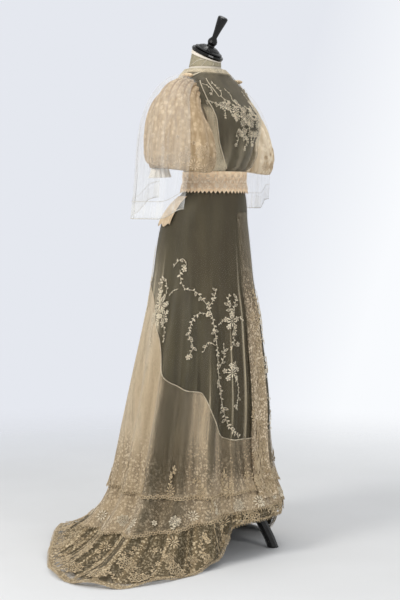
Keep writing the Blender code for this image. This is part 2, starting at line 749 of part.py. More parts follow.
def skirt():
    angles = fold_angles()
    slip = skirt_rows(level(0.0), level(SLIP_END), (0, 0, 0), angles)
    sheet("slip_skirt", slip, "dark_satin", SLIP_WALL)
    net = skirt_rows(level(0.0), tier_edge("seam", SEAM_GAP), (NET_LIFT, NET_LIFT, NET_LIFT), angles)
    sheet("skirt_net", net, "sheer_net", NET_WALL)
    upper = skirt_rows(tier_edge("seam"), tier_edge("upper_hem"), (NET_LIFT, 0.0085, 0.0125), angles)
    sheet("flounce_upper", upper, "cream_net", NET_WALL)
    under = 0.012  # how far up under the tier above each lower tier begins
    edges = tier_edge("upper_hem", under), tier_edge("middle_hem")
    middle = skirt_rows(*edges, (0.0050, 0.0080, 0.0110), angles)
    sheet("flounce_middle", middle, "cream_lace", LACE_WALL)

    hem = skirt_rows(tier_edge("middle_hem", under), level(2.0), hem_lift, angles)
    start = min(range(len(angles)), key=lambda k: abs(angles[k]))
    middle_back = min(range(len(angles)), key=lambda k: abs(abs(angles[k]) - 180))
    hem_half("hem_flounce_left", hem, start, middle_back)
    hem_half("hem_flounce_right", hem, middle_back, start)


def peplum():
    """The lace tab that hangs over the back from under the belt."""
    def edge(angle):
        return drop_at(angle, PEPLUM_BOTTOM + PEPLUM_SCALLOP * math.cos(math.radians(angle * 20)))

    angles = [PEPLUM_FRONT + (360 - 2 * PEPLUM_FRONT) * k / 20 for k in range(21)]
    rows = skirt_rows(level(PEPLUM_TOP), edge, (NET_LIFT + 0.0016, 0.0075, 0.0095), angles)
    sheet("peplum", rows, "cream_lace", LACE_WALL, loop=False)


def hem_half(name, rows, first, last):
    """Half of the lace hem, from one column round to another, cut through between its border's motifs."""
    count = len(rows[0])
    columns = [(first + k) % count for k in range((last - first) % count + 1)]
    half = [[row[c].copy() for c in columns] for row in rows]
    for row in half:
        row[0] = row[0].lerp(row[1], 0.05)
        row[-1] = row[-1].lerp(row[-2], 0.05)

    def room(r, c):
        ring = [half[r][c], half[r + 1][c], half[r + 1][c + 1], half[r][c + 1]]
        twist = (ring[0] + ring[2] - ring[1] - ring[3]).length / 2
        return min((ring[k] - ring[k - 1]).length for k in range(4)) if twist < HOLE_TWIST else 0.0

    holes = {(r, c) for r in range(len(half) - 1) for c in range(len(columns) - 1) if room(r, c) > HOLE_ROOM}
    sheet(name, half, "cream_lace", LACE_WALL, loop=False, holes=holes)


def front_gore():
    """The doubled net gore down the centre front, with lace from the hip down."""
    angles = [k * GORE_HALF_ANGLE / 4 for k in range(-4, 5)]
    rows = skirt_rows(level(GORE_TOP), level(GORE_BOTTOM), (0.0066, 0.0140, 0.0155), angles)
    sheet("skirt_front_gore", rows, "cream_lace", NET_WALL, loop=False)


def main():
    clear_scene()
    group = bpy.data.collections.new("dress_on_form")
    bpy.context.scene.collection.children.link(group)
    centre = bpy.data.objects.new("body_centre", None)
    group.objects.link(centre)
    centre.location = (BODY_LEFT, -BODY_FORWARD, 0)
    form_torso()
    form_top()
    form_stand()
    slip_bodice()
    net_bodice()
    collar()
    for side in ("right", "left"):
        puffed_sleeve(side)
        sleeve_frill(side)
        cape_sleeve(side)
        sleeve_head(side)
    waistband()
    skirt()
    peplum()
    front_gore()


main()
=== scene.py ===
import math
import random
import bpy
import numpy as np
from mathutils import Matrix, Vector


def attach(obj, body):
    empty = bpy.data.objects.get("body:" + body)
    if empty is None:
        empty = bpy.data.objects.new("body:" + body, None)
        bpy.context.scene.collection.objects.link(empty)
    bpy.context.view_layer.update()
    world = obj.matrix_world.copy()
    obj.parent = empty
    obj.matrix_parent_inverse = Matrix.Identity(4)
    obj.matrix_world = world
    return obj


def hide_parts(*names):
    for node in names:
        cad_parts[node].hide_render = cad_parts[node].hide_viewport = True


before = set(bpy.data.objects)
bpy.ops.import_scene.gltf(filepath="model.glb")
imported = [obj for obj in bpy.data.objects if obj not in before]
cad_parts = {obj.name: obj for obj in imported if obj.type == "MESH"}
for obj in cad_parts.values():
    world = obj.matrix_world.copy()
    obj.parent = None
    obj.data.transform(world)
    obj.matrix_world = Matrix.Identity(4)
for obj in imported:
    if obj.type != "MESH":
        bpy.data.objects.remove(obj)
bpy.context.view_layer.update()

bodyAxis = np.array([0.1273, -0.1858, 0.0])  # the form's pole stands here, all shapes below are measured from it
scene = bpy.context.scene


# numbers and curves that all the cloth shares
def unit(v):
    return v / np.maximum(np.linalg.norm(v, axis=-1, keepdims=True), 1e-12)


def wrapped(angle):
    # to -180..180, front at 0
    return (np.asarray(angle, float) + 180) % 360 - 180


def lengths(points):
    # the way along a run of points, from its start
    return np.concatenate([[0], np.cumsum(np.linalg.norm(np.diff(points, axis=0), axis=1))])


def hermite(t, width, a, b, slopeA, slopeB):
    return ((2 * t**3 - 3 * t**2 + 1) * a + (t**3 - 2 * t**2 + t) * width * slopeA
            + (3 * t**2 - 2 * t**3) * b + (t**3 - t**2) * width * slopeB)


def ease(low, high, value):
    t = np.clip((np.asarray(value, float) - low) / (high - low), 0.0, 1.0)
    return t * t * (3 - 2 * t)


def smoothRead(keys, values, at, flatEnds=False):
    # a smooth curve through the rows of a table that never swings past them
    keys, values = np.asarray(keys, float), np.asarray(values, float)
    at = np.clip(np.asarray(at, float), keys[0], keys[-1])
    steps = np.diff(values) / np.diff(keys)
    slopes = np.zeros(len(keys))
    same = steps[:-1] * steps[1:] > 0
    slopes[1:-1] = np.where(same, 2 * steps[:-1] * steps[1:] / np.where(same, steps[:-1] + steps[1:], 1), 0)
    if not flatEnds:
        slopes[0], slopes[-1] = steps[0], steps[-1]
    i = np.clip(np.searchsorted(keys, at, side="right") - 1, 0, len(keys) - 2)
    width = keys[i + 1] - keys[i]
    return hermite((at - keys[i]) / width, width, values[i], values[i + 1], slopes[i], slopes[i + 1])


def onSection(table, height, angle, grow=0.0):
    # a place on a body given by ovals: height, half width, half depth, middle set back
    rows = np.array(table)[np.argsort([row[0] for row in table])]
    wide, deep, back = [smoothRead(rows[:, 0], rows[:, k], height) for k in (1, 2, 3)]
    wide, deep = wide + grow, deep + grow
    turn = np.radians(angle)
    return np.stack(np.broadcast_arrays(wide * np.sin(turn), back - deep * np.cos(turn), height + 0 * turn), -1)


# camera, floor and light first
view = {"place": (-3.7698, -2.4358, 1.10), "aim": (0.1037, -0.1449, 0.785), "lens": 85.9}

cameraData = bpy.data.cameras.new("studioCamera")
cameraData.lens = view["lens"]
cameraData.sensor_width = 36.0
camera = bpy.data.objects.new("studioCamera", cameraData)
scene.collection.objects.link(camera)
camera.location = view["place"]
camera.rotation_euler = (Vector(view["aim"]) - Vector(view["place"])).to_track_quat("-Z", "Y").to_euler()
scene.camera = camera


# shader maths: a tap is one output of a node, and + - * on taps add Math nodes
class Tap:
    def __init__(self, look, socket):
        self.look, self.socket = look, socket

    def __add__(self, other):
        return self.look.maths("ADD", self, other)

    __radd__ = __add__

    def __sub__(self, other):
        return self.look.maths("SUBTRACT", self, other)

    def __rsub__(self, other):
        return self.look.maths("SUBTRACT", other, self)

    def __mul__(self, other):
        return self.look.maths("MULTIPLY", self, other)

    __rmul__ = __mul__


class Look:
    def __init__(self, name):
        self.material = bpy.data.materials.new(name)
        self.material.use_nodes = True
        self.tree = self.material.node_tree
        self.tree.nodes.clear()
        self.output = self.tree.nodes.new("ShaderNodeOutputMaterial")
        self.surface = self.tree.nodes.new("ShaderNodeBsdfPrincipled")
        self.tree.links.new(self.surface.outputs[0], self.output.inputs["Surface"])

    def put(self, socket, value):
        if isinstance(value, Tap):
            self.tree.links.new(value.socket, socket)
        else:
            socket.default_value = value

    def node(self, kind, settings=(), sockets=(), out=0):
        made = self.tree.nodes.new(kind)
        for key, value in dict(settings).items():
            setattr(made, key, value)
        for key, value in dict(sockets).items():
            self.put(made.inputs[key], value)
        return Tap(self, made.outputs[out])

    def maths(self, operation, a, b):
        return self.node("ShaderNodeMath", {"operation": operation}, {0: a, 1: b})

    def clamp(self, value):
        return self.node("ShaderNodeClamp", {}, {"Value": value})

    def step(self, value, low, high, atLow=0.0, atHigh=1.0):
        return self.node("ShaderNodeMapRange", {"interpolation_type": "SMOOTHSTEP"},
                         {"Value": value, "From Min": low, "From Max": high, "To Min": atLow, "To Max": atHigh})

    def colours(self, factor, a, b):
        return self.node("ShaderNodeMix", {"data_type": "RGBA"}, {0: factor, 6: a, 7: b}, out=2)

    def place(self):
        return self.node("ShaderNodeTexCoord", {}, {}, out=3)  # Object

    def stretched(self, scale):
        return self.node("ShaderNodeMapping", {}, {"Vector": self.place(), "Scale": scale})

    def attribute(self, name):
        return self.node("ShaderNodeAttribute", {"attribute_name": name}, {}, out=2)

    def noise(self, scale, detail=2.0, at=None):
        return self.node("ShaderNodeTexNoise", {}, {"Vector": at or self.place(), "Scale": scale, "Detail": detail})

    def cells(self, scale, feature="F1", at=None):
        return self.node("ShaderNodeTexVoronoi", {"feature": feature}, {"Vector": at or self.place(), "Scale": scale})

    def threads(self, scale):
        # the lines of a mesh: 1 on a thread, 0 in a hole
        return self.step(self.cells(scale, "DISTANCE_TO_EDGE"), 0.03, 0.20, 1.0, 0.0)

    def figure(self, size):
        # small uneven rounds with an open eye
        wander = self.node("ShaderNodeVectorMath", {"operation": "MULTIPLY_ADD"},
                           {0: self.node("ShaderNodeTexNoise", {}, {"Vector": self.place(), "Scale": size * 0.5},
                                         out=1),
                            1: (0.012, 0.012, 0.012), 2: self.place()})
        rounds = self.cells(size, "F1", wander)
        return self.step(rounds, 0.30, 0.46, 1.0, 0.0) * self.step(rounds, 0.04, 0.12, 0.35, 1.0)

    def relief(self, height, distance, strength=1.0):
        return self.node("ShaderNodeBump", {}, {"Height": height, "Distance": distance, "Strength": strength})

    def finish(self, **values):
        for key, value in values.items():
            self.put(self.surface.inputs[key], value)
        return self.material


def rgb(r, g, b):
    # a colour as it reads on screen, 0 to 255, made linear
    def flat(c):
        c /= 255
        return c / 12.92 if c <= 0.04045 else ((c + 0.055) / 1.055) ** 2.4
    return (flat(r), flat(g), flat(b), 1.0)


studio = {"floor": (226, 227, 228), "paperShadedLeft": (229, 232, 239), "paperLitRight": (249, 251, 254),
          "fill": (0.97, 0.985, 1.0), "fillStrength": 0.60, "paperTurn": (0.45, -0.85, -0.28), "paperBlend": 0.09,
          "floorReach": 6.0,
          "lampAim": (0.05, -0.15, 0.7)}
lamps = [("keyLight", (-3.4, 0.9, 2.7), 1.5, 84, (1.0, 0.985, 0.955)),
         ("frontLight", (-1.4, -4.0, 2.0), 1.4, 30, (1.0, 0.985, 0.965)),
         ("topLight", (0.3, -0.5, 3.8), 1.6, 26, (1.0, 0.995, 0.99))]


def makeStudio():
    scene.view_settings.view_transform = "Standard"
    mesh = bpy.data.meshes.new("floor")
    rings, spokes = [0.0, 0.5, 1.0, 1.6, 2.4, 3.6, studio["floorReach"]], 64
    points = [(0, 0, 0)] + [(r * math.cos(2 * math.pi * k / spokes), r * math.sin(2 * math.pi * k / spokes), 0)
                            for r in rings[1:] for k in range(spokes)]
    faces = [(0, 1 + k, 1 + (k + 1) % spokes) for k in range(spokes)]
    for ring in range(len(rings) - 2):
        a, b = 1 + ring * spokes, 1 + (ring + 1) * spokes
        faces += [(a + k, b + k, b + (k + 1) % spokes, a + (k + 1) % spokes) for k in range(spokes)]
    mesh.from_pydata(points, [], faces)
    look = Look("paperFloor")
    away = look.node("ShaderNodeVectorMath", {"operation": "LENGTH"}, {0: look.place()}, out=1)
    grain = look.noise(3.0, 3.0)
    tone = look.colours(look.step(grain, 0.3, 0.7, 0.0, 0.25), rgb(*studio["floor"]), rgb(236, 237, 239))
    look.finish(**{"Base Color": tone, "Roughness": 0.75, "Specular IOR Level": 0.15,
                   "Alpha": look.step(away, 0.85, 3.2, 1.0, 0.0)})
    mesh.materials.append(look.material)
    floor = bpy.data.objects.new("floor", mesh)
    floor.location = (0, 0, -0.0006)
    scene.collection.objects.link(floor)

    world = bpy.data.worlds.new("paleStudio")
    scene.world = world
    world.use_nodes = True
    tree = world.node_tree
    seen = tree.nodes["Background"]
    where = tree.nodes.new("ShaderNodeTexCoord")
    across = tree.nodes.new("ShaderNodeVectorMath")
    across.operation = "DOT_PRODUCT"
    across.inputs[1].default_value = studio["paperTurn"]
    tree.links.new(where.outputs["Generated"], across.inputs[0])
    # painted shade: the backdrop the camera sees goes from near white to a darker, bluer grey toward the upper left,
    # a light falloff painted into its colour
    ramp = tree.nodes.new("ShaderNodeValToRGB")
    tree.links.new(across.outputs["Value"], ramp.inputs[0])
    for element, at, paper in zip(ramp.color_ramp.elements, (0.0, studio["paperBlend"]), ("paperShadedLeft", "paperLitRight")):
        element.position, element.color = at, rgb(*studio[paper])
    tree.links.new(ramp.outputs[0], seen.inputs["Color"])
    fill = tree.nodes.new("ShaderNodeBackground")
    fill.inputs["Color"].default_value = (*studio["fill"], 1.0)
    fill.inputs["Strength"].default_value = studio["fillStrength"]
    ray, pick = tree.nodes.new("ShaderNodeLightPath"), tree.nodes.new("ShaderNodeMixShader")
    tree.links.new(ray.outputs["Is Camera Ray"], pick.inputs[0])
    tree.links.new(fill.outputs[0], pick.inputs[1])
    tree.links.new(seen.outputs[0], pick.inputs[2])
    tree.links.new(pick.outputs[0], tree.nodes["World Output"].inputs["Surface"])

    for name, place, size, power, colour in lamps:
        data = bpy.data.lights.new(name, "AREA")
        data.shape, data.size, data.energy, data.color = "DISK", size, power, colour
        lamp = bpy.data.objects.new(name, data)
        lamp.location = place
        lamp.rotation_euler = (Vector(studio["lampAim"]) - Vector(place)).to_track_quat("-Z", "Y").to_euler()
        scene.collection.objects.link(lamp)


makeStudio()
print("studio ready")


# finishes
def dullSatin():
    look = Look("oliveSatin")
    grain = look.noise(38.0, 3.0, look.stretched((1.0, 1.0, 0.10)))
    patch = look.noise(5.0, 2.0, look.stretched((1.0, 1.0, 0.35)))
    weave = look.noise(2600.0, 0.0, look.stretched((1.0, 1.0, 2.2)))
    tone = look.colours(look.step(grain, 0.30, 0.72), rgb(51, 46, 31), rgb(68, 62, 43))
    tone = look.colours(look.step(patch, 0.35, 0.70, 0.0, 0.55), tone, rgb(64, 54, 38))
    return look.finish(**{"Base Color": tone, "Roughness": look.step(patch, 0.2, 0.8, 0.48, 0.66),
                          "Sheen Weight": 0.06, "Sheen Roughness": 0.4, "Specular IOR Level": 0.22,
                          "Normal": look.relief(weave, 0.00012, 0.5)})


def netLook(name, cream, warm, open_, full, laceTop=None):
    # net is threads round small holes, and where it is folded back on itself the veil attribute closes it
    look = Look(name)
    thread = look.threads(520.0)
    drift = look.noise(16.0, 2.0, look.stretched((1.0, 1.0, 0.12)))
    strand = look.noise(75.0, 2.0, look.stretched((1.0, 1.0, 0.05)))
    cover = (look.step(look.attribute("veil"), 0.0, 1.0, open_, full) * look.step(drift, 0.25, 0.75, 0.80, 1.20)
             * look.step(strand, 0.30, 0.70, 0.72, 1.25))
    tone = look.colours(look.step(drift, 0.3, 0.7), cream, warm)
    tone = look.colours(look.step(strand, 0.40, 0.75, 0.0, 0.5), tone, warm)
    if laceTop:  # the lower part is worked in lace
        height = look.node("ShaderNodeSeparateXYZ", {}, {0: look.place()}, out=2)
        low, worked = look.step(height, laceTop - 0.14, laceTop, 1.0, 0.0), look.figure(110.0)
        cover = cover * (1.0 + low * (0.60 * worked - 0.24))
        tone = look.colours(low * (1.0 - worked) * 0.45, tone, rgb(150, 128, 98))
    alpha = look.clamp(cover * (0.72 + 0.75 * thread))
    return look.finish(**{"Base Color": tone, "Roughness": 0.85, "Alpha": alpha, "Specular IOR Level": 0.1,
                          "Sheen Weight": 0.15, "Normal": look.relief(thread, 0.0002, 0.4)})


def puffLook(name, light, deep, brown):
    # fine close lace; painted shade: brown is mixed in down in the gathers, where the attribute read below is low
    look = Look(name)
    grain = look.noise(95.0, 3.0, look.stretched((1.0, 1.0, 0.12)))
    figure = look.step(look.cells(75.0, "F1", look.stretched((1.0, 1.0, 0.7))), 0.25, 0.45, 1.0, 0.0)
    thread = look.threads(420.0)
    tone = look.colours(look.step(grain, 0.36, 0.62), deep, light)
    tone = look.colours(look.clamp(figure * 0.30), tone, light)
    tone = look.colours((1.0 - look.figure(64.0)) * 0.34, tone, brown)
    # painted shade: the gather valleys go brown
    tone = look.colours(look.step(look.attribute("veil"), 0.0, 0.75, 0.85, 0.0), tone, brown)
    return look.finish(**{"Base Color": tone, "Roughness": 0.88, "Specular IOR Level": 0.1, "Sheen Weight": 0.1,
                          "Normal": look.relief(figure * 0.6 + thread * 0.4, 0.0006, 0.7)})


def laceLook(name, light, deep):
    # needle-run lace: threads lie side by side
    look = Look(name)
    cord = look.node("ShaderNodeTexWave", {"wave_type": "BANDS", "bands_direction": "DIAGONAL"},
                     {"Vector": look.place(), "Scale": 900.0, "Distortion": 6.0, "Detail": 2.0, "Detail Scale": 0.6})
    patch = look.noise(60.0, 3.0)
    tone = look.colours(look.step(patch, 0.30, 0.70), deep, light)
    return look.finish(**{"Base Color": tone, "Roughness": look.step(cord, 0.0, 1.0, 0.92, 0.78),
                          "Specular IOR Level": 0.15, "Sheen Weight": 0.2,
                          "Normal": look.relief(cord, 0.0003, 0.6)})


def openLace(name, light, deep, coverLow, coverHigh):
    # a lace ground: small rounds on a mesh, thin between them
    look, size = Look(name), 120.0
    drift = look.noise(22.0, 3.0)
    motif = look.figure(size)
    full = look.clamp(motif + look.threads(size * 3.0) * 0.45)
    cover = look.step(look.attribute("veil"), 0.0, 1.0, coverLow, coverHigh)
    alpha = look.clamp(cover * (0.45 + 1.05 * full))
    tone = look.colours(look.step(full, 0.2, 0.9), deep, light)
    tone = look.colours(look.step(drift, 0.35, 0.7, 0.0, 0.35), tone, deep)
    return look.finish(**{"Base Color": tone, "Roughness": 0.86, "Alpha": alpha, "Specular IOR Level": 0.1,
                          "Sheen Weight": 0.1, "Normal": look.relief(full, 0.0006, 0.8)})


finishes = {
    "satin": dullSatin(),
    "net": netLook("sheerNet", rgb(222, 210, 184), rgb(212, 196, 166), 0.025, 0.60),
    "cape": netLook("capeNet", rgb(250, 250, 248), rgb(240, 239, 235), 0.060, 0.50),
    "collar": netLook("collarNet", rgb(190, 181, 156), rgb(168, 158, 132), 0.30, 0.95),
    "flounce": netLook("flounceNet", rgb(210, 193, 166), rgb(190, 171, 142), 0.030, 0.88, 0.42),
    "whiteNet": netLook("whiteNet", rgb(248, 244, 236), rgb(240, 234, 224), 0.35, 0.80),
    "applied": laceLook("appliedLace", rgb(234, 222, 198), rgb(216, 202, 176)),
    "warmLace": laceLook("warmLace", rgb(210, 190, 156), rgb(184, 162, 128)),
    "whiteLace": laceLook("whiteLace", rgb(244, 236, 224), rgb(230, 220, 204)),
    "gore": openLace("goreLace", rgb(228, 210, 182), rgb(190, 168, 136), 0.08, 1.0),
    "tab": puffLook("tabLace", rgb(236, 214, 184), rgb(216, 192, 160), rgb(176, 148, 112)),
    "hemLace": openLace("hemLace", rgb(206, 188, 156), rgb(150, 130, 98), 0.04, 1.0),
    "puff": puffLook("puffLace", rgb(210, 187, 154), rgb(180, 156, 123), rgb(132, 106, 75)),
    # painted light: the far sleeve's lace is the puff lace made lighter, to offset the shade that falls on that
    # sleeve
    "farPuffLitCopy": puffLook("farPuffLace", rgb(252, 238, 214), rgb(236, 218, 190), rgb(190, 166, 132)),
    "puffMotif": laceLook("puffMotif", rgb(228, 206, 174), rgb(210, 186, 152)),
    # painted light: the waistband lace and its motifs are lighter than the same lace elsewhere, to offset the shade
    # under the bodice pouch
    "band": puffLook("bandLace", rgb(255, 232, 200), rgb(248, 218, 182), rgb(214, 180, 142)),
    "bandMotif": laceLook("bandMotif", rgb(255, 238, 214), rgb(240, 218, 190)),
    "capeTape": laceLook("capeTape", rgb(226, 220, 206), rgb(206, 199, 182)),
}
print("finishes ready")


# meshes
def putMesh(name, mesh, finish):
    mesh.materials.append(finishes[finish])
    piece = bpy.data.objects.new(name, mesh)
    scene.collection.objects.link(piece)
    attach(piece, "root")
    return piece


def clothMesh(name, grid, thick, round_=False, veil=None, flip=False):
    # rows of points run down the cloth, columns to the wearer's left, and the wall grows inwards
    rows, columns = grid.shape[:2]
    if round_:
        across = np.roll(grid, -1, 1) - np.roll(grid, 1, 1)
    else:
        across = np.gradient(grid, axis=1)
    outward = unit(np.cross(np.gradient(grid, axis=0), across)) * (-1 if flip else 1)
    outer, inner = grid, grid - outward * thick
    points = np.concatenate([outer.reshape(-1, 3), inner.reshape(-1, 3)]) + bodyAxis
    count = rows * columns
    r, c = np.meshgrid(np.arange(rows - 1), np.arange(columns if round_ else columns - 1), indexing="ij")
    after = (c + 1) % columns
    quad = np.stack([r * columns + c, (r + 1) * columns + c, (r + 1) * columns + after, r * columns + after], -1)
    quad = quad.reshape(-1, 4)
    if flip:
        quad = quad[:, ::-1]
    faces = [quad, quad[:, ::-1] + count]

    def rim(line, closed):
        following = np.roll(line, -1)
        a, b = (line, following) if closed else (line[:-1], following[:-1])
        band = np.stack([a, b, b + count, a + count], -1)
        return band

    top, bottom = np.arange(columns), (rows - 1) * columns + np.arange(columns)
    edges = [(rim(top, round_), False), (rim(bottom, round_), True)]
    if not round_:
        left, right = np.arange(rows) * columns, np.arange(rows) * columns + columns - 1
        edges += [(rim(left, False), True), (rim(right, False), False)]
    for band, turned in edges:
        faces.append(band[:, ::-1] if turned != flip else band)
    mesh = bpy.data.meshes.new(name)
    mesh.from_pydata(points.tolist(), [], np.concatenate(faces).tolist())
    if veil is not None:
        field = mesh.attributes.new("veil", "FLOAT", "POINT")
        values = np.tile(np.clip(np.broadcast_to(veil, (rows, columns)), 0, 1).ravel(), 2)
        field.data.foreach_set("value", values.astype(np.float32))
    mesh.shade_smooth()
    return mesh


wall = {"net": 0.0003, "satin": 0.0006, "collar": 0.0005, "belt": 0.0009, "band": 0.0010}
flatSizes = {}


def putCloth(name, node, grid, thick, finish, round_=False, veil=None, flip=False):
    # the sheet, with its flat cut: widest run round the body, longest run down it, and its real area
    piece = putMesh(name, clothMesh(name, grid, thick, round_, veil, flip), finish)
    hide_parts(node)
    closed = np.concatenate([grid, grid[:, :1]], 1) if round_ else grid
    width = float(np.linalg.norm(np.diff(closed, axis=1), axis=-1).sum(1).max())
    length = float(np.linalg.norm(np.diff(closed, axis=0), axis=-1).sum(0).max())
    a, b, c, d = closed[:-1, :-1], closed[1:, :-1], closed[1:, 1:], closed[:-1, 1:]
    halves = np.linalg.norm(np.cross(b - a, c - a), axis=-1) + np.linalg.norm(np.cross(c - a, d - a), axis=-1)
    area = float(halves.sum() / 2)
    area = min(max(area, 0.31 * width * length), width * length)
    flatSizes[name] = (round(width, 3), round(length, 3), round(area, 4))


crown = 0.0009  # how far a lace patch stands up


def cordSides(n):
    # faces of a cord from its left, crest and right runs of n points, closed at both ends
    faces = []
    for k in range(n - 1):
        faces += [(k, n + k, n + k + 1, k + 1), (n + k, 2 * n + k, 2 * n + k + 1, n + k + 1),
                  (2 * n + k, k, k + 1, 2 * n + k + 1)]
    return faces + [(0, 2 * n, n), (n - 1, 2 * n - 1, 3 * n - 1)]


# lace patches: flat outlines with a low crown, gathered and laid on a surface in one go
class Surface:
    def __init__(self, at, small):
        self.at, self.small = at, small

    def axes(self, u, v):
        du, dv = self.small
        one = lambda a, b: self.at(np.array([a]), np.array([b]), 0.0)[0]
        return (one(u + du, v) - one(u - du, v)) / (2 * du), (one(u, v + dv) - one(u, v - dv)) / (2 * dv)


class LaceWork:
    def __init__(self, surface, lift):
        self.surface, self.lift = surface, lift
        self.spots, self.heights, self.faces, self.count = [], [], [], 0
        self.cords, self.cordFaces = [], []

    def add(self, motif, u, v, turn=0.0, size=1.0, mirror=False):
        flat, heights, faces = motif
        flat = flat * size * ((-1, 1) if mirror else (1, 1))
        c, s = math.cos(math.radians(turn)), math.sin(math.radians(turn))
        flat = flat @ np.array([[c, s], [-s, c]])
        uAxis, vAxis = self.surface.axes(u, v)
        right = uAxis / np.linalg.norm(uAxis)
        down = vAxis - right * np.dot(vAxis, right)
        down = down / np.linalg.norm(down)
        offset = flat[:, :1] * right - flat[:, 1:] * down
        spot = offset @ np.linalg.pinv(np.stack([uAxis, vAxis])) + (u, v)
        self.spots.append(spot)
        self.heights.append(np.asarray(heights))
        self.faces += [tuple(i + self.count for i in (face[::-1] if mirror else face)) for face in faces]
        self.count += len(flat)

    def path(self, anchors, steps=10):
        # a smooth run of u, v places, with the way it heads there, in degrees from straight up
        anchors = np.asarray(anchors, float)
        scale = [np.linalg.norm(axis) for axis in self.surface.axes(*anchors[len(anchors) // 2])]
        places = curved(anchors * scale, steps) / scale
        points = self.surface.at(places[:, 0], places[:, 1], self.lift)
        keys = lengths(points)
        return places, points, keys

    def cord(self, anchors, width=0.0014, high=crown, steps=10):
        places, points, keys = self.path(anchors, steps)
        outward = unit(self.surface.at(places[:, 0], places[:, 1], self.lift + 0.002) - points)
        side = unit(np.cross(outward, np.gradient(points, axis=0))) * width / 2
        self.cords.append(np.concatenate([points + side, points + outward * high, points - side]))
        self.cordFaces.append(cordSides(len(points)))

    def heading(self, places, points, k):
        uAxis, vAxis = self.surface.axes(*places[k])
        right = uAxis / np.linalg.norm(uAxis)
        down = unit(vAxis - right * np.dot(vAxis, right))
        run = points[min(k + 1, len(points) - 1)] - points[max(k - 1, 0)]
        return math.degrees(math.atan2(-np.dot(run, right), -np.dot(run, down)))

    def vine(self, anchors, seed, every, size, tip=None):
        # a stem with uneven leaves to either side, and a flower at its end
        rnd = random.Random(seed)
        self.cord(anchors, 0.0015)
        places, points, keys = self.path(anchors)
        at, side = every * 0.6, 1
        while at < keys[-1]:
            k = min(max(int(np.searchsorted(keys, at)), 1), len(keys) - 1)
            turn = self.heading(places, points, k)
            shape = rnd.choice([leaf, leaf, budLeaf, openLeaf, dot])
            self.add(shape, places[k][0], places[k][1], turn + side * rnd.uniform(38, 78),
                     size * rnd.uniform(0.7, 1.05))
            if rnd.random() < 0.22:
                self.add(budLeaf, places[k][0], places[k][1], turn - side * rnd.uniform(50, 80), size * 0.8)
            side = -side
            at += every * rnd.uniform(0.7, 1.25)
        if tip is not None:
            self.add(tip, places[-1][0], places[-1][1], self.heading(places, points, len(keys) - 1), size)

    def mesh(self, name):
        spots, heights = np.concatenate(self.spots), np.concatenate(self.heights)
        points = self.surface.at(spots[:, 0], spots[:, 1], self.lift + heights) + bodyAxis
        count = len(points)
        for some, faces in zip(self.cords, self.cordFaces):
            self.faces += [tuple(i + count for i in face) for face in faces]
            points = np.concatenate([points, some + bodyAxis])
            count += len(some)
        mesh = bpy.data.meshes.new(name)
        mesh.from_pydata(points.tolist(), [], self.faces)
        mesh.shade_smooth()
        return mesh


def joinMotifs(parts):
    flats, heights, faces, count = [], [], [], 0
    for flat, height, some in parts:
        flats.append(flat)
        heights.append(np.asarray(height))
        faces += [tuple(i + count for i in face) for face in some]
        count += len(flat)
    return np.concatenate(flats), np.concatenate(heights), faces


def moved(motif, x=0.0, y=0.0, turn=0.0, size=1.0):
    flat, heights, faces = motif
    c, s = math.cos(math.radians(turn)), math.sin(math.radians(turn))
    return flat * size @ np.array([[c, s], [-s, c]]) + (x, y), heights, faces


def solidPatch(outline, high=crown):
    outline = np.asarray(outline, float)
    n, centre = len(outline), outline.mean(0)
    flat = np.concatenate([outline, centre + (outline - centre) * 0.70, centre[None]])
    heights = np.concatenate([np.zeros(n), np.full(n, high), [high * 1.15]])
    faces = [(k, (k + 1) % n, n + (k + 1) % n, n + k) for k in range(n)]
    faces += [(n + k, n + (k + 1) % n, 2 * n) for k in range(n)]
    faces.append(tuple(range(n - 1, -1, -1)))
    return flat, heights, faces


def ringPatch(outline, inner=0.62, high=crown):
    outline = np.asarray(outline, float)
    n, centre = len(outline), outline.mean(0)
    hole = centre + (outline - centre) * inner
    middle = (outline + hole) / 2
    flat = np.concatenate([outline, middle, hole])
    heights = np.concatenate([np.zeros(n), np.full(n, high), np.zeros(n)])
    faces = []
    for a, b in ((0, n), (n, 2 * n), (2 * n, 0)):
        faces += [(a + k, a + (k + 1) % n, b + (k + 1) % n, b + k) for k in range(n)]
    return flat, heights, faces


def petalLine(length, width, blunt=1.0, steps=4):
    # outline of a petal or leaf from its base at 0,0 up the y axis, anticlockwise
    t = np.linspace(0, 1, steps + 1)
    half = width / 2 * np.sin(np.pi * t ** blunt) ** 0.8
    right = np.stack([half[1:-1], t[1:-1] * length], -1)
    left = right[::-1] * (-1, 1)
    return np.concatenate([[(0, 0)], right, [(0, length)], left])


def roundLine(radius, steps=10, lobes=0, depth=0.0):
    a = np.linspace(0, 2 * np.pi, steps, endpoint=False)
    r = radius * (1 + depth * np.cos(lobes * a))
    return np.stack([r * np.cos(a), r * np.sin(a)], -1)


def stemLine(points, width=0.0014, high=crown):
    # a cord along a path of flat points
    points = np.asarray(points, float)
    along = unit(np.gradient(points, axis=0))
    side = np.stack([-along[:, 1], along[:, 0]], -1)
    n = len(points)
    flat = np.concatenate([points + side * width / 2, points, points - side * width / 2])
    return flat, np.concatenate([np.zeros(n), np.full(n, high), np.zeros(n)]), cordSides(n)


def curved(points, steps=8):
    # a smooth path through a few flat points
    points = np.asarray(points, float)
    if len(points) < 3:
        return points
    keys = lengths(points)
    at = np.linspace(0, keys[-1], steps * (len(points) - 1) + 1)
    tangent = np.gradient(points, keys, axis=0)
    i = np.clip(np.searchsorted(keys, at, side="right") - 1, 0, len(keys) - 2)
    width = (keys[i + 1] - keys[i])[:, None]
    t = (at[:, None] - keys[i][:, None]) / width
    return hermite(t, width, points[i], points[i + 1], tangent[i], tangent[i + 1])


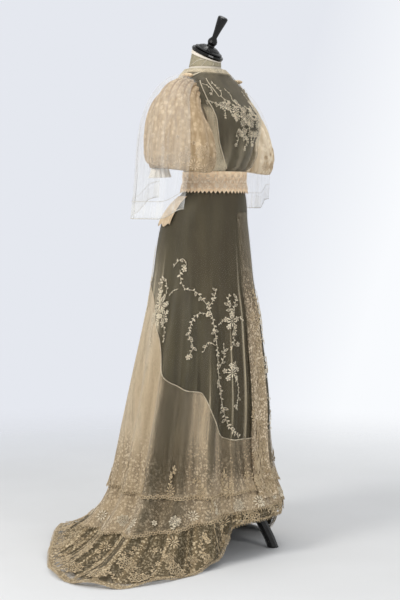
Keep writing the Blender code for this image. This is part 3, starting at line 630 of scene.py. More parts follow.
leaf = solidPatch(petalLine(0.013, 0.0062, 0.85))
budLeaf = solidPatch(petalLine(0.009, 0.0050, 0.8, 3))
openLeaf = joinMotifs([ringPatch(petalLine(0.020, 0.0100, 0.85, 5), 0.60),
                       stemLine([(0, 0.001), (0, 0.018)], 0.0012)])
dot = solidPatch(roundLine(0.0026, 7))


def blossom(petals=5, reach=0.0085, width=0.0075):
    parts = [moved(solidPatch(petalLine(reach, width, 1.25, 3)), *(0.0024 * np.array(
        [-math.sin(math.radians(360 * k / petals)), math.cos(math.radians(360 * k / petals))])),
                   turn=360 * k / petals)
        for k in range(petals)]
    return joinMotifs(parts + [ringPatch(roundLine(0.0032, 8), 0.42)])


def daisy(petals=12, inner=0.006, reach=0.017, width=0.0048, start=0.0, sweep=360.0):
    parts = []
    for k in range(petals):
        turn = start + sweep * (k + 0.5) / petals
        x, y = -inner * math.sin(math.radians(turn)), inner * math.cos(math.radians(turn))
        long = reach * (1.0 + 0.12 * math.sin(2.4 * k))
        parts.append(moved(solidPatch(petalLine(long, width, 1.2, 3)), x, y, turn))
    parts.append(ringPatch(roundLine(inner * 0.85, 9), 0.45))
    return joinMotifs(parts)


def medallion(radius=0.030, petals=9):
    # a wheel of open petals round an eye, in a scalloped ring
    parts = [ringPatch(roundLine(radius * 0.20, 9), 0.50)]
    for k in range(petals):
        turn = 360 * k / petals
        x, y = -math.sin(math.radians(turn)), math.cos(math.radians(turn))
        parts.append(moved(ringPatch(petalLine(radius * 0.62, radius * 0.40, 1.2, 4), 0.48), x * radius * 0.24,
                           y * radius * 0.24, turn))
        parts.append(moved(solidPatch(roundLine(radius * 0.11, 6)), x * radius * 0.97, y * radius * 0.97, turn))
    parts.append(ringPatch(roundLine(radius * 0.90, 36, petals, 0.05), 0.90))
    return joinMotifs(parts)


def spray(seed, leaves=7, reach=0.055, bend=30.0):
    # a bent stem with paired leaves and a blossom at its tip
    rnd = random.Random(seed)
    path = []
    for k in range(leaves + 1):
        t = k / leaves
        turn = math.radians(bend * t * t)
        path.append((math.sin(turn) * reach * t, math.cos(turn) * reach * t))
    parts = [stemLine(curved(path, 2))]
    for k in range(1, leaves):
        t = k / leaves
        side = 1 if k % 2 else -1
        heading = -bend * t * 1.6
        x, y = path[k]
        parts.append(moved(leaf, x, y, heading + side * rnd.uniform(42, 62),
                           rnd.uniform(0.75, 1.05) * (1.1 - 0.35 * t)))
        if k % 3 == 1:
            parts.append(moved(budLeaf, x, y, heading - side * rnd.uniform(50, 75), rnd.uniform(0.7, 1.0)))
    parts.append(moved(blossom(5, 0.0075, 0.0066), path[-1][0], path[-1][1], rnd.uniform(0, 60)))
    return joinMotifs(parts)


# Geometry Nodes: a small shape repeated on points, turned to the cloth there
def repeatTree():
    tree = bpy.data.node_groups.new("repeatOnPoints", "GeometryNodeTree")
    face = tree.interface
    face.new_socket("Geometry", in_out="INPUT", socket_type="NodeSocketGeometry")
    shape = face.new_socket("Shape", in_out="INPUT", socket_type="NodeSocketObject")
    finish = face.new_socket("Finish", in_out="INPUT", socket_type="NodeSocketMaterial")
    size = face.new_socket("Size", in_out="INPUT", socket_type="NodeSocketFloat")
    spread = face.new_socket("Uneven", in_out="INPUT", socket_type="NodeSocketFloat")
    seed = face.new_socket("Seed", in_out="INPUT", socket_type="NodeSocketInt")
    size.default_value, spread.default_value, seed.default_value = 1.0, 0.12, 7
    face.new_socket("Geometry", in_out="OUTPUT", socket_type="NodeSocketGeometry")
    new = tree.nodes.new
    link = tree.links.new
    start, end = new("NodeGroupInput"), new("NodeGroupOutput")
    info = new("GeometryNodeObjectInfo")
    link(start.outputs["Shape"], info.inputs["Object"])
    named = []
    for name in ("outward", "along"):
        node = new("GeometryNodeInputNamedAttribute")
        node.data_type = "FLOAT_VECTOR"
        node.inputs["Name"].default_value = name
        named.append(node)
    up, turn = new("FunctionNodeAlignRotationToVector"), new("FunctionNodeAlignRotationToVector")
    up.axis, turn.axis, turn.pivot_axis = "Z", "X", "Z"
    link(named[0].outputs["Attribute"], up.inputs["Vector"])
    link(up.outputs["Rotation"], turn.inputs["Rotation"])
    link(named[1].outputs["Attribute"], turn.inputs["Vector"])
    chance = new("FunctionNodeRandomValue")
    chance.data_type = "FLOAT"
    one = new("ShaderNodeMath")
    one.operation = "SUBTRACT"
    one.inputs[0].default_value = 1.0
    link(start.outputs["Uneven"], one.inputs[1])
    more = new("ShaderNodeMath")
    more.operation = "ADD"
    more.inputs[0].default_value = 1.0
    link(start.outputs["Uneven"], more.inputs[1])
    floats = [s for s in chance.inputs if s.type == "VALUE" and s.enabled]
    link(one.outputs[0], floats[0])
    link(more.outputs[0], floats[1])
    link(start.outputs["Seed"], chance.inputs["Seed"])
    scaled = new("ShaderNodeMath")
    scaled.operation = "MULTIPLY"
    link([s for s in chance.outputs if s.type == "VALUE" and s.enabled][0], scaled.inputs[0])
    link(start.outputs["Size"], scaled.inputs[1])
    place, real = new("GeometryNodeInstanceOnPoints"), new("GeometryNodeRealizeInstances")
    paint = new("GeometryNodeSetMaterial")
    link(start.outputs["Geometry"], place.inputs["Points"])
    link(info.outputs["Geometry"], place.inputs["Instance"])
    link(turn.outputs["Rotation"], place.inputs["Rotation"])
    link(scaled.outputs[0], place.inputs["Scale"])
    link(place.outputs["Instances"], real.inputs["Geometry"])
    link(real.outputs["Geometry"], paint.inputs["Geometry"])
    link(start.outputs["Finish"], paint.inputs["Material"])
    link(paint.outputs["Geometry"], end.inputs["Geometry"])
    keys = {"shape": shape.identifier, "finish": finish.identifier, "size": size.identifier,
            "uneven": spread.identifier, "seed": seed.identifier}
    return tree, keys


repeater, repeaterKeys = repeatTree()


def repeated(name, spots, outward, along, motif, finish, size=1.0, uneven=0.12, seed=7):
    # spots, outward and along are arrays from the body's axis; the motif lies flat with its outer side up
    flat, heights, faces = motif
    shapeMesh = bpy.data.meshes.new(name + "Shape")
    shapeMesh.from_pydata(np.column_stack([flat, heights]).tolist(), [], faces)
    shapeMesh.shade_smooth()
    shape = bpy.data.objects.new(name + "Shape", shapeMesh)
    scene.collection.objects.link(shape)
    dots = bpy.data.meshes.new(name + "Dots")
    dots.from_pydata((spots + bodyAxis).tolist(), [], [])
    for key, field in (("outward", outward), ("along", along)):
        layer = dots.attributes.new(key, "FLOAT_VECTOR", "POINT")
        layer.data.foreach_set("vector", np.ascontiguousarray(field, np.float32).ravel())
    holder = bpy.data.objects.new(name + "Dots", dots)
    scene.collection.objects.link(holder)
    modifier = holder.modifiers.new("repeat", "NODES")
    modifier.node_group = repeater
    for key, value in (("shape", shape), ("finish", finish), ("size", size), ("uneven", uneven), ("seed", seed)):
        modifier[repeaterKeys[key]] = value
    holder.update_tag()
    graph = bpy.context.evaluated_depsgraph_get()
    made = bpy.data.meshes.new_from_object(holder.evaluated_get(graph), depsgraph=graph)
    made.name = name
    for extra in (holder, shape):
        bpy.data.objects.remove(extra, do_unlink=True)
    piece = bpy.data.objects.new(name, made)
    scene.collection.objects.link(piece)
    if not made.materials:
        made.materials.append(finish)
    return piece


def evenSteps(line, spacing):
    # places a spacing apart round a closed run of points, with the direction there
    line = np.concatenate([line, line[:1]])
    keys = lengths(line)
    count = max(int(round(keys[-1] / spacing)), 2)
    at = np.arange(count) / count * keys[-1]
    spots = np.stack([np.interp(at, keys, line[:, k]) for k in range(3)], -1)
    ahead = np.stack([np.interp(np.minimum(at + spacing * 0.3, keys[-1]), keys, line[:, k]) for k in range(3)], -1)
    behind = np.stack([np.interp(np.maximum(at - spacing * 0.3, 0), keys, line[:, k]) for k in range(3)], -1)
    return spots, unit(ahead - behind), at / keys[-1]


# the dress form shows as it is in the solids, with its own finishes
def formFinishes():
    jersey = Look("formJersey")
    knit = jersey.noise(1800.0, 0.0, jersey.stretched((1.0, 1.0, 0.5)))
    jersey.finish(**{"Base Color": jersey.colours(jersey.step(jersey.noise(20.0, 2.0), 0.3, 0.7), rgb(206, 196, 178),
                                                  rgb(218, 208, 190)),
                     "Roughness": 0.92, "Sheen Weight": 0.2, "Normal": jersey.relief(knit, 0.0002, 0.4)})
    lacquer = Look("blackLacquer")
    worn = lacquer.noise(90.0, 4.0)
    lacquer.finish(**{"Base Color": lacquer.colours(lacquer.step(worn, 0.60, 0.85), rgb(7, 6, 6), rgb(34, 26, 20)),
                      "Roughness": lacquer.step(worn, 0.35, 0.75, 0.20, 0.36), "Coat Weight": 0.25,
                      "Coat Roughness": 0.15, "Specular IOR Level": 0.35,
                      "Normal": lacquer.relief(lacquer.noise(240.0, 2.0), 0.0001, 0.3)})
    for name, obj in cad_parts.items():
        if name.startswith("form_"):
            look = jersey if name == "form_torso" else lacquer
            for k in range(max(len(obj.material_slots), 1)):
                if not obj.material_slots:
                    obj.data.materials.append(look.material)
                else:
                    obj.material_slots[k].material = look.material


formFinishes()
print("form finished")

# the skirt: one smooth surface that every layer stands off from
skirt = {
    "waist": 1.150, "knee": 0.270, "slipEnd": 1.88, "netLift": 0.0045, "hemLift": 0.0068,
    "foldStart": 0.22, "foldFull": 0.79,
    "sections": [(1.150, .1044, .0874, .002), (1.120, .1090, .0930, .004), (1.080, .1300, .1140, .022),
                 (1.025, .1460, .1310, .038), (0.931, .1620, .1440, .042), (0.836, .1730, .1530, .043),
                 (0.742, .1860, .1650, .041), (0.648, .1970, .1740, .043), (0.553, .2090, .1830, .045),
                 (0.459, .2210, .1910, .049), (0.365, .2320, .1980, .058), (0.270, .2460, .2110, .064)],
    "hem": [(-180, -.020, .585, 0), (-168, -.120, .535, 0), (-156, -.225, .475, 0), (-143, -.335, .400, 0),
            (-130, -.440, .330, 0), (-116, -.530, .250, 0), (-104, -.590, .165, 0), (-92, -.612, .070, 0),
            (-82, -.590, -.012, 0), (-72, -.515, -.066, 0), (-62, -.418, -.108, 0), (-52, -.314, -.136, 0),
            (-43, -.226, -.142, .014), (-37, -.176, -.137, .050), (-32, -.142, -.131, .088),
            (-25, -.113, -.166, .112), (-18, -.078, -.196, .118), (0, 0, -.205, .118),
            (20, .083, -.190, .118), (38, .140, -.148, .110), (50, .184, -.111, .070), (61, .236, -.071, .018),
            (72, .288, -.020, 0), (84, .330, .045, 0), (96, .355, .120, 0), (110, .355, .215, 0),
            (125, .325, .315, 0), (140, .262, .410, 0), (155, .170, .495, 0), (168, .075, .555, 0),
            (180, -.020, .585, 0)],
    "folds": [(-166, .028), (-139, .034), (-112, .024), (-90, .034), (-68, .026), (-48, .031), (-29, .016),
              (-10, .010), (11, .012), (31, .018), (52, .017), (76, .020), (104, .026), (136, .032)],
    # soft creases over the flutes: angle above, angle below, from drop, to drop, half width, depth
    "creases": [(-171, -174, .55, 1.95, 3.5, .0050), (-158, -161, .30, 1.80, 3.0, .0038),
                (-150, -149, .75, 1.9, 4.0, -.0045), (-131, -133, .40, 1.85, 3.2, .0042),
                (-120, -124, .90, 1.95, 3.0, .0048), (-104, -106, .30, 1.70, 2.6, -.0036),
                (-98, -97, .85, 1.95, 2.8, .0046), (-82, -84, .45, 1.90, 3.0, .0040),
                (-75, -73, 1.00, 1.95, 2.4, -.0040), (-60, -62, .35, 1.60, 2.4, .0034),
                (-54, -56, .80, 1.90, 2.2, -.0036), (-38, -41, .25, 1.70, 2.2, .0030),
                (-20, -22, .30, 1.90, 2.0, .0026), (-2, -3, .55, 1.75, 2.4, .0018), (4, 6, .25, 1.90, 2.0, -.0022),
                (20, 22, .40, 1.85, 2.4, .0028), (42, 43, .30, 1.80, 2.6, .0030), (64, 62, .55, 1.90, 2.8, -.0026),
                (88, 91, .35, 1.85, 3.0, .0036), (97, 95, .90, 1.95, 2.6, -.0038),
                (118, 121, .45, 1.90, 3.4, .0044), (126, 127, 1.00, 1.95, 3.0, -.0036),
                (150, 152, .30, 1.85, 3.2, .0040), (163, 160, .70, 1.95, 2.8, -.0044),
                (176, 175, .95, 1.95, 3.0, .0042)],
}


def hemPoint(angle):
    angle = wrapped(angle)
    rows = np.array(skirt["hem"])
    return np.stack([smoothRead(rows[:, 0], rows[:, k], angle, True) for k in (1, 2, 3)], -1)


def skirtBase(angle, drop):
    angle, drop = np.broadcast_arrays(np.asarray(angle, float), np.asarray(drop, float))
    fall = skirt["waist"] - skirt["knee"]
    upper = onSection(skirt["sections"], skirt["waist"] - fall * np.minimum(drop, 1), angle)
    start = onSection(skirt["sections"], skirt["knee"] + 0 * angle, angle)
    slope = unit(start - onSection(skirt["sections"], skirt["knee"] + 0.03 + 0 * angle, angle))
    end = hemPoint(angle)
    span = np.linalg.norm(end - start, axis=-1, keepdims=True)
    onFloor = (1 - ease(0.0, 0.10, end[..., 2]))[..., None]
    hang = end - slope * span * 0.3
    lie = np.concatenate([end[..., :2] + 0.42 * (start[..., :2] - end[..., :2]), end[..., 2:]], -1)
    first = start + slope * span * 0.48
    first[..., 2] = np.maximum(first[..., 2], 0.05)
    second = hang + (lie - hang) * onFloor
    t = np.maximum(drop - 1, 0)[..., None]
    lower = start * (1 - t)**3 + first * 3 * t * (1 - t)**2 + second * 3 * t**2 * (1 - t) + end * t**3
    return np.where((drop > 1)[..., None], lower, upper)


def foldRise(angle):
    folds = skirt["folds"]
    ridges = np.array([a for a, d in folds] + [folds[0][0] + 360], float)
    depths = np.array([d for a, d in folds] + [folds[0][1]])
    angle = (np.asarray(angle, float) - ridges[0]) % 360 + ridges[0]
    k = np.clip(np.searchsorted(ridges, angle + 1e-9, side="right") - 1, 0, len(folds) - 1)
    share = (angle - ridges[k]) / (ridges[k + 1] - ridges[k])
    return np.where(share < 0.5, depths[k], depths[k + 1]) * (0.5 + 0.5 * np.cos(2 * np.pi * share))


def creaseRise(angle, drop, creases):
    total = 0 * (angle + drop)
    for above, below, first, last, wide, deep in creases:
        centre = above + (below - above) * np.clip((drop - first) / (last - first), 0, 1)
        off = wrapped(angle - centre)
        body = ease(first, first + 0.45, drop) * (1 - ease(last - 0.15, last + 0.1, drop))
        total = total + deep * np.exp(-(off / wide) ** 2) * body
    return total


gridAngles = np.linspace(-180, 180, 961)
gridDrops = np.linspace(0, 2, 321)


def makeSkirtField():
    angle, drop = np.meshgrid(gridAngles, gridDrops)
    base = skirtBase(angle, drop)
    around = skirtBase(angle + 0.5, drop) - skirtBase(angle - 0.5, drop)
    along = skirtBase(angle, np.minimum(drop + 0.01, 2)) - skirtBase(angle, np.maximum(drop - 0.01, 0))
    normal = unit(np.cross(along, around))
    growth = ease(skirt["foldStart"], skirt["foldFull"], (skirt["waist"] - skirt["knee"]) * np.minimum(drop, 1))
    rise = foldRise(angle) * growth * (1 - 0.55 * ease(1.55, 2.0, drop)) + creaseRise(angle, drop, skirt["creases"])
    points = base + normal * rise[..., None]
    points[..., 2] = np.maximum(points[..., 2], 0.0008)
    return points, normal


skirtPoints, skirtNormals = makeSkirtField()


def fieldRead(field, angle, drop):
    a = ((np.asarray(angle, float) + 180) % 360) / 360 * (len(gridAngles) - 1)
    d = np.clip(np.asarray(drop, float), 0, 2) / 2 * (len(gridDrops) - 1)
    i, j = np.minimum(a.astype(int), len(gridAngles) - 2), np.minimum(d.astype(int), len(gridDrops) - 2)
    x, y = (a - i)[..., None], (d - j)[..., None]
    return ((field[j, i] * (1 - x) + field[j, i + 1] * x) * (1 - y)
            + (field[j + 1, i] * (1 - x) + field[j + 1, i + 1] * x) * y)


def skirtAt(angle, drop, lift=0.0):
    angle, drop, lift = np.broadcast_arrays(angle, drop, lift)
    points = (fieldRead(skirtPoints, angle, drop)
              + fieldRead(skirtNormals, angle, drop) * np.asarray(lift, float)[..., None])
    points[..., 2] = np.maximum(points[..., 2], 0.0006)
    return points


def dropAt(angle, height):
    # the drop at which the skirt first comes down to a height
    angle, height = np.broadcast_arrays(np.asarray(angle, float), np.asarray(height, float))
    heights = fieldRead(skirtPoints, angle[..., None] + 0 * gridDrops, gridDrops + 0 * angle[..., None])[..., 2]
    under = heights <= height[..., None]
    k = np.clip(np.argmax(under, axis=-1), 1, len(gridDrops) - 1)
    k = np.where(under.any(-1), k, len(gridDrops) - 1)
    a = np.take_along_axis(heights, (k - 1)[..., None], -1)[..., 0]
    b = np.take_along_axis(heights, k[..., None], -1)[..., 0]
    return gridDrops[k - 1] + (gridDrops[k] - gridDrops[k - 1]) * np.clip(
        (a - height) / np.maximum(a - b, 1e-9), 0, 1)


tiers = {"angle": [0, 20, 36, 46, 57, 71, 83, 92, 106, 120, 150, 180],
         "seam": [.365, .365, .377, .434, .515, .525, .542, .572, .690, .790, .850, .860],
         "upper": [.205, .205, .205, .203, .200, .200, .200, .200, .200, .200, .200, .200],
         "middle": [.150, .150, .145, .135, .120, .105, .095, .090, .085, .080, .075, .070]}


def tierDrop(angle, which, shift=0.0):
    off = np.abs(wrapped(angle))
    return dropAt(angle, smoothRead(tiers["angle"], tiers[which], off, True) + shift)


skirtSurface = Surface(skirtAt, (0.5, 0.004))


def layer(top, bottom, lift, rows, angles, ripple=None):
    # a skirt layer between two edges, each a drop for every angle
    share = np.linspace(0, 1, rows)[:, None]
    first, last = top(angles)[None], bottom(angles)[None]
    drop = first + (last - first) * share
    angle = np.broadcast_to(angles[None], drop.shape)
    high = lift(share, drop)
    if ripple is not None:
        high = high + ripple(angle, drop, share)
    return skirtAt(angle, drop, high), angle, drop, np.broadcast_to(share, drop.shape)


ringAngles = np.linspace(-180, 180, 420, endpoint=False)
plainAngles = np.linspace(-180, 180, 320, endpoint=False)


def makeSlip():
    grid, *_ = layer(lambda a: 0 * a, lambda a: 0 * a + skirt["slipEnd"], lambda s, d: 0.0011 + 0 * d, 64,
                     plainAngles)
    putCloth("slipSkirt", "slip_skirt", grid, wall["satin"], "satin",
             round_=True)


makeSlip()
print("slip skirt made")

# the net over it, with the folds that catch the light
netFolds = [(-176, -178, .25, 1.6, 1.3, 1.0), (-168, -171, .50, 1.7, 1.0, .8), (-160, -163, .10, 1.6, 1.6, .9),
            (-152, -151, .60, 1.8, 1.0, .7), (-143, -146, .20, 1.7, 1.4, 1.0), (-134, -133, .45, 1.7, 0.9, .7),
            (-124, -127, .15, 1.7, 1.6, .9), (-116, -118, .55, 1.8, 1.0, .8), (-107, -109, .10, 1.6, 1.3, .8),
            (-99, -98, .70, 1.8, 0.9, .6), (-91, -93, .35, 1.7, 1.0, .4), (-80, -81, .90, 1.9, 0.8, .3),
            (-69, -70, 1.0, 1.9, 0.8, .3), (-62, -61, .42, 1.9, 0.55, .45), (-51, -50, .40, 1.9, 0.55, .70),
            (-39, -41, .50, 1.9, 0.45, .40), (-30, -32, .26, 1.9, 0.50, .75), (-24, -25, .62, 1.9, 0.4, .35),
            (-15, -15, .05, 1.9, 1.1, .8), (15, 14, .05, 1.9, 1.4, .9),
            (22, 23, .25, 1.9, 0.8, .6), (31, 30, .50, 1.9, 0.9, .4), (38, 39, .20, 1.9, 1.0, .8),
            (49, 50, .60, 1.9, 0.8, .5), (60, 60, .30, 1.9, 1.0, .8), (72, 73, .75, 1.9, 0.8, .5),
            (83, 85, .25, 1.8, 1.1, .8), (95, 94, .55, 1.8, 0.9, .7), (106, 109, .15, 1.7, 1.4, .9),
            (117, 118, .60, 1.8, 1.0, .7), (128, 131, .20, 1.7, 1.5, .9), (139, 138, .50, 1.8, 1.0, .7),
            (148, 151, .15, 1.7, 1.4, 1.0), (158, 157, .55, 1.8, 1.0, .8), (168, 171, .30, 1.7, 1.5, .9)]


def netRipple(angle, drop):
    return creaseRise(angle, drop, netFolds)


def backFull(angle, low=88, high=128):
    # the cloth is gathered to the back, so it lies thicker there
    return ease(low, high, np.abs(wrapped(angle)))


def makeNet():
    grid, angle, drop, share = layer(
        lambda a: 0 * a, lambda a: tierDrop(a, "seam", 0.0026), lambda s, d: skirt["netLift"] + 0 * d, 60,
        plainAngles,
        lambda a, d, s: 0.0016 * netRipple(a, d))
    veil = 0.95 * netRipple(angle, drop) ** 1.3 + 0.55 * backFull(angle, 96, 118) * ease(.1, .6, drop)
    putCloth("skirtNet", "skirt_net", grid, wall["net"], "net",
             round_=True, veil=veil)


makeNet()


def flounceFolds(angle, drop, seed, count, deep):
    # small uneven gathers that run down from the seam
    rnd = random.Random(seed)
    total = 0 * (angle + drop)
    for k in range(count):
        centre = -180 + 360 * (k + rnd.uniform(-0.3, 0.3)) / count
        drift, wide = rnd.uniform(-2, 2), rnd.uniform(0.5, 1.2) * 180 / count
        off = wrapped(angle - centre - drift * drop)
        total = total + rnd.uniform(0.35, 1.0) * np.exp(-(off / wide) ** 2)
    return deep * total


scallops = {"upper": 96, "middle": 84, "depth": 0.010}  # how many go round the whole skirt


def tierEdge(angles, which):
    # the lower edge of a tier, cut in scallops
    wave = np.abs(np.sin(np.radians(angles) * scallops[which] / 2))
    return tierDrop(angles, which) + scallops["depth"] * (wave - 0.6)


def tierVeil(angle):
    # how thickly the flounces lie round the skirt: doubled at the back and over the near front fold
    places = [-180, -104, -96, -88, -68, -62, -53, -50, -46, -40, -32, -20, 0, 20, 45, 60, 90, 110, 180]
    full = [.78, .78, .64, .16, .10, .42, .52, .12, .20, .40, .20, .24, .34, .24, .42, .22, .45, .78, .78]
    return smoothRead(places, full, wrapped(angle), True)


def makeTiers():
    straight = lambda s, a, b, c: np.where(s < 0.5, a + (b - a) * s * 2, b + (c - b) * (s * 2 - 1))
    grid, angle, drop, share = layer(
        lambda a: tierDrop(a, "seam"), lambda a: tierEdge(a, "upper"),
        lambda s, d: straight(s, skirt["netLift"], 0.0085, 0.0125) + 0 * d, 40, ringAngles,
        lambda a, d, s: flounceFolds(a, d, 5, 90, 0.0010) * ease(0.0, 0.25, s) - 0.0006)
    veil = (tierVeil(angle) + 0.30 * netRipple(angle, drop) + 0.10 * flounceFolds(angle, drop, 5, 90, 1.0)
            + 0.10 * ease(0.70, 0.95, share) + 0.40 * ease(0.20, 0.75, share) * ease(56, 42, np.abs(angle))
            + 0.5 * ease(0.975, 0.99, share))
    putCloth("flounceUpper", "flounce_upper", grid, wall["net"], "flounce",
             round_=True, veil=veil)

    grid, angle, drop, share = layer(
        lambda a: tierDrop(a, "upper", 0.012), lambda a: tierEdge(a, "middle"),
        lambda s, d: straight(s, 0.0050, 0.0080, 0.0110) + 0 * d, 24, ringAngles,
        lambda a, d, s: flounceFolds(a, d, 11, 84, 0.0008) * s - 0.0004)
    veil = (0.08 + 0.95 * tierVeil(angle) + 0.20 * flounceFolds(angle, drop, 11, 84, 0.9)
            + 0.35 * ease(56, 42, np.abs(angle)) + 0.5 * ease(0.96, 0.98, share))
    putCloth("flounceMiddle", "flounce_middle", grid, wall["net"], "flounce",
             round_=True, veil=veil)

    for name, node, first, last in (("hemLaceLeft", "hem_flounce_left", 0.25, 179.75),
                                    ("hemLaceRight", "hem_flounce_right", -179.75, -0.25)):
        angles = np.linspace(first, last, 230)
        grid, angle, drop, share = layer(
            lambda a: tierDrop(a, "middle", 0.012), lambda a: 0 * a + 2.0,
            lambda s, d: np.where(d <= skirt["slipEnd"], skirt["hemLift"],
                                  skirt["hemLift"] * (2.0 - d) / (2.0 - skirt["slipEnd"])) + 0.0006, 60, angles,
            lambda a, d, s: flounceFolds(a, d, 23, 76, 0.0006))
        streaks = flounceFolds(angle, drop, 23, 150, 1.0) ** 2
        veil = 0.20 + streaks * (0.30 + 0.45 * backFull(angle, 70, 100)) + 0.75 * ease(1.945, 1.965, drop)
        putCloth(name, node, grid, wall["net"], "hemLace", veil=veil)


makeTiers()
print("flounces made")


def makeGore():
    angles = np.linspace(-11.5, 11.5, 30)
    grid, angle, drop, share = layer(
        lambda a: 0 * a + 0.10, lambda a: 0 * a + 1.60,
        lambda s, d: np.interp(s, [0, .5, 1], [0.0066, 0.0140, 0.0155]) + 0 * d, 80, angles,
        lambda a, d, s: 0.0006 * np.cos(np.radians(a * 36)))
    soft = ease(-11.5, -3.0, angle)
    uneven = drop + 0.03 * np.sin(np.radians(angle * 40))
    veil = ((0.02 + 0.10 * soft) * ease(0.10, 0.30, drop) + (0.40 + 0.30 * soft) * ease(0.22, 0.66, uneven)
            + 0.20 * ease(0.95, 1.25, drop) + 0.25 * ease(1.55, 1.58, drop))
    putCloth("frontGore", "skirt_front_gore", grid, wall["net"], "gore",
             veil=veil)

    angles = np.linspace(104, 256, 110)
    edge = lambda a: dropAt(a, 1.020 + 0.005 * np.cos(np.radians(a * 20)))
    grid, angle, drop, share = layer(
        lambda a: 0 * a + 0.048, edge, lambda s, d: np.interp(s, [0, .5, 1], [0.0061, 0.0075, 0.0095]) + 0 * d, 24,
        angles,
        lambda a, d, s: 0.0012 * s * np.cos(np.radians(a * 24)))
    putCloth("peplumTabs", "peplum", grid, wall["net"], "tab",
             veil=1.0)


makeGore()
print("gore and peplum made")

# the bodice
form = {"armhole": 18, "sideSeam": 90, "seamWidth": 0.4, "slipStandOff": 0.0034, "slipWall": 0.0012,
        "neckTop": (0, 0.030, 1.552), "neckRadius": 0.0465, "neckSlope": 28,
        "sections": [(0.840, .140, .120, .036), (0.930, .147, .128, .038), (1.025, .135, .119, .031),
                     (1.080, .119, .103, .018), (1.120, .104, .088, .004), (1.150, .101, .084, .002),
                     (1.189, .106, .087, .001), (1.245, .120, .097, -.008), (1.277, .128, .105, -.011),
                     (1.308, .135, .112, -.015), (1.340, .140, .114, -.016), (1.370, .144, .107, -.010),
                     (1.400, .148, .093, .002), (1.434, .151, .078, .013), (1.460, .143, .066, .022),
                     (1.482, .118, .057, .029), (1.500, .078, .052, .034), (1.513, .052, .048, .037)]}


def netStandOff(height):
    pouch = ease(1.310, 1.225, height) * (1 - ease(1.203, 1.189, height))
    bust = ease(1.480, 1.385, height) * (1 - ease(1.245, 1.200, height))
    shoulder = ease(1.440, 1.490, height)
    return form["slipStandOff"] + form["slipWall"] + 0.0016 + 0.0040 * bust + 0.0150 * pouch + 0.0030 * shoulder


def bodiceAt(angle, height, lift=0.0):
    angle, height, lift = np.broadcast_arrays(angle, height, lift)
    grow = netStandOff(np.asarray(height, float)) + lift
    return onSection(form["sections"], np.asarray(height, float), np.asarray(angle, float), grow)


bodiceSurface = Surface(bodiceAt, (0.5, 0.001))


def panelGrid(front, low, high, rows, columns, grow, ripple=None):
    heights = np.linspace(high, low, rows)[:, None]
    armhole = form["armhole"] * ease(1.245, 1.340, heights) * (1 - ease(1.434, 1.490, heights))
    edge = (form["sideSeam"] if front else 180 - form["sideSeam"] - form["seamWidth"]) - armhole
    angle = (0 if front else 180) + edge * np.linspace(-1, 1, columns)[None]
    lift = grow(heights) + 0 * angle
    if ripple is not None:
        lift = lift + ripple(angle, heights)
    return onSection(form["sections"], heights + 0 * angle, angle, lift), angle, heights + 0 * angle


def makeBodice():
    for name, node, front in (("slipFront", "slip_front", True), ("slipBack", "slip_back", False)):
        grid, angle, height = panelGrid(front, 1.1512, 1.506, 50, 60, lambda h: form["slipStandOff"] + 0.0011)
        putCloth(name, node, grid, wall["satin"], "satin")
    for name, node, front in (("bodiceFront", "bodice_front", True), ("bodiceBack", "bodice_back", False)):
        def gathers(angle, height):
            deep = ease(1.330, 1.215, height) * (1 - ease(1.205, 1.192, height))
            fine = (np.cos(np.radians(angle * 17 + 40 * np.sin(np.radians(angle * 3)))) * 0.0020
                    + np.cos(np.radians(angle * 29 + 25)) * 0.0010)
            tucks = 0.0008 * np.cos(np.radians(angle * 60)) * ease(1.44, 1.47, height)
            return fine * deep + tucks
        grid, angle, height = panelGrid(front, 1.1512, 1.505, 70, 110, netStandOff, gathers)
        pull = ease(1.330, 1.215, height)
        veil = 0.13 + 0.20 * pull * (
            0.5 + 0.5 * np.cos(np.radians(angle * 17 + 40 * np.sin(np.radians(angle * 3))))) ** 2
        yoke = ease(1.488, 1.494, height) if front else 0.20 + 0.9 * ease(1.432, 1.442, height)
        veil = veil + yoke
        if front:
            seam = np.interp(height, [1.195, 1.225, 1.262, 1.305, 1.350, 1.395], [36, 45, 52, 57, 59, 58.5])
            veil = veil + 0.95 * ease(1.395, 1.355, height) * ease(-0.5, 2.5, np.abs(angle) - seam)
        putCloth(name, node, grid, wall["net"], "net",
                 veil=veil)


makeBodice()


def neckPoint(angle, radius, above=0.0):
    turn = np.radians(angle)
    flat = np.stack(np.broadcast_arrays(radius * np.sin(turn), -radius * np.cos(turn), above + 0 * turn), -1)
    c, s = math.cos(math.radians(form["neckSlope"])), math.sin(math.radians(form["neckSlope"]))
    tilt = np.array([[1, 0, 0], [0, c, -s], [0, s, c]])
    return flat @ tilt.T + np.array(form["neckTop"])


def collarAt(angle, share, lift=0.0):
    angle, share, lift = np.broadcast_arrays(np.asarray(angle, float), np.asarray(share, float),
                                             np.asarray(lift, float))
    low = onSection(form["sections"], 1.513 + 0 * angle, angle, 0.0006 + lift)
    high = neckPoint(angle, form["neckRadius"] + 0.0006 + lift)
    return low + (high - low) * share[..., None]


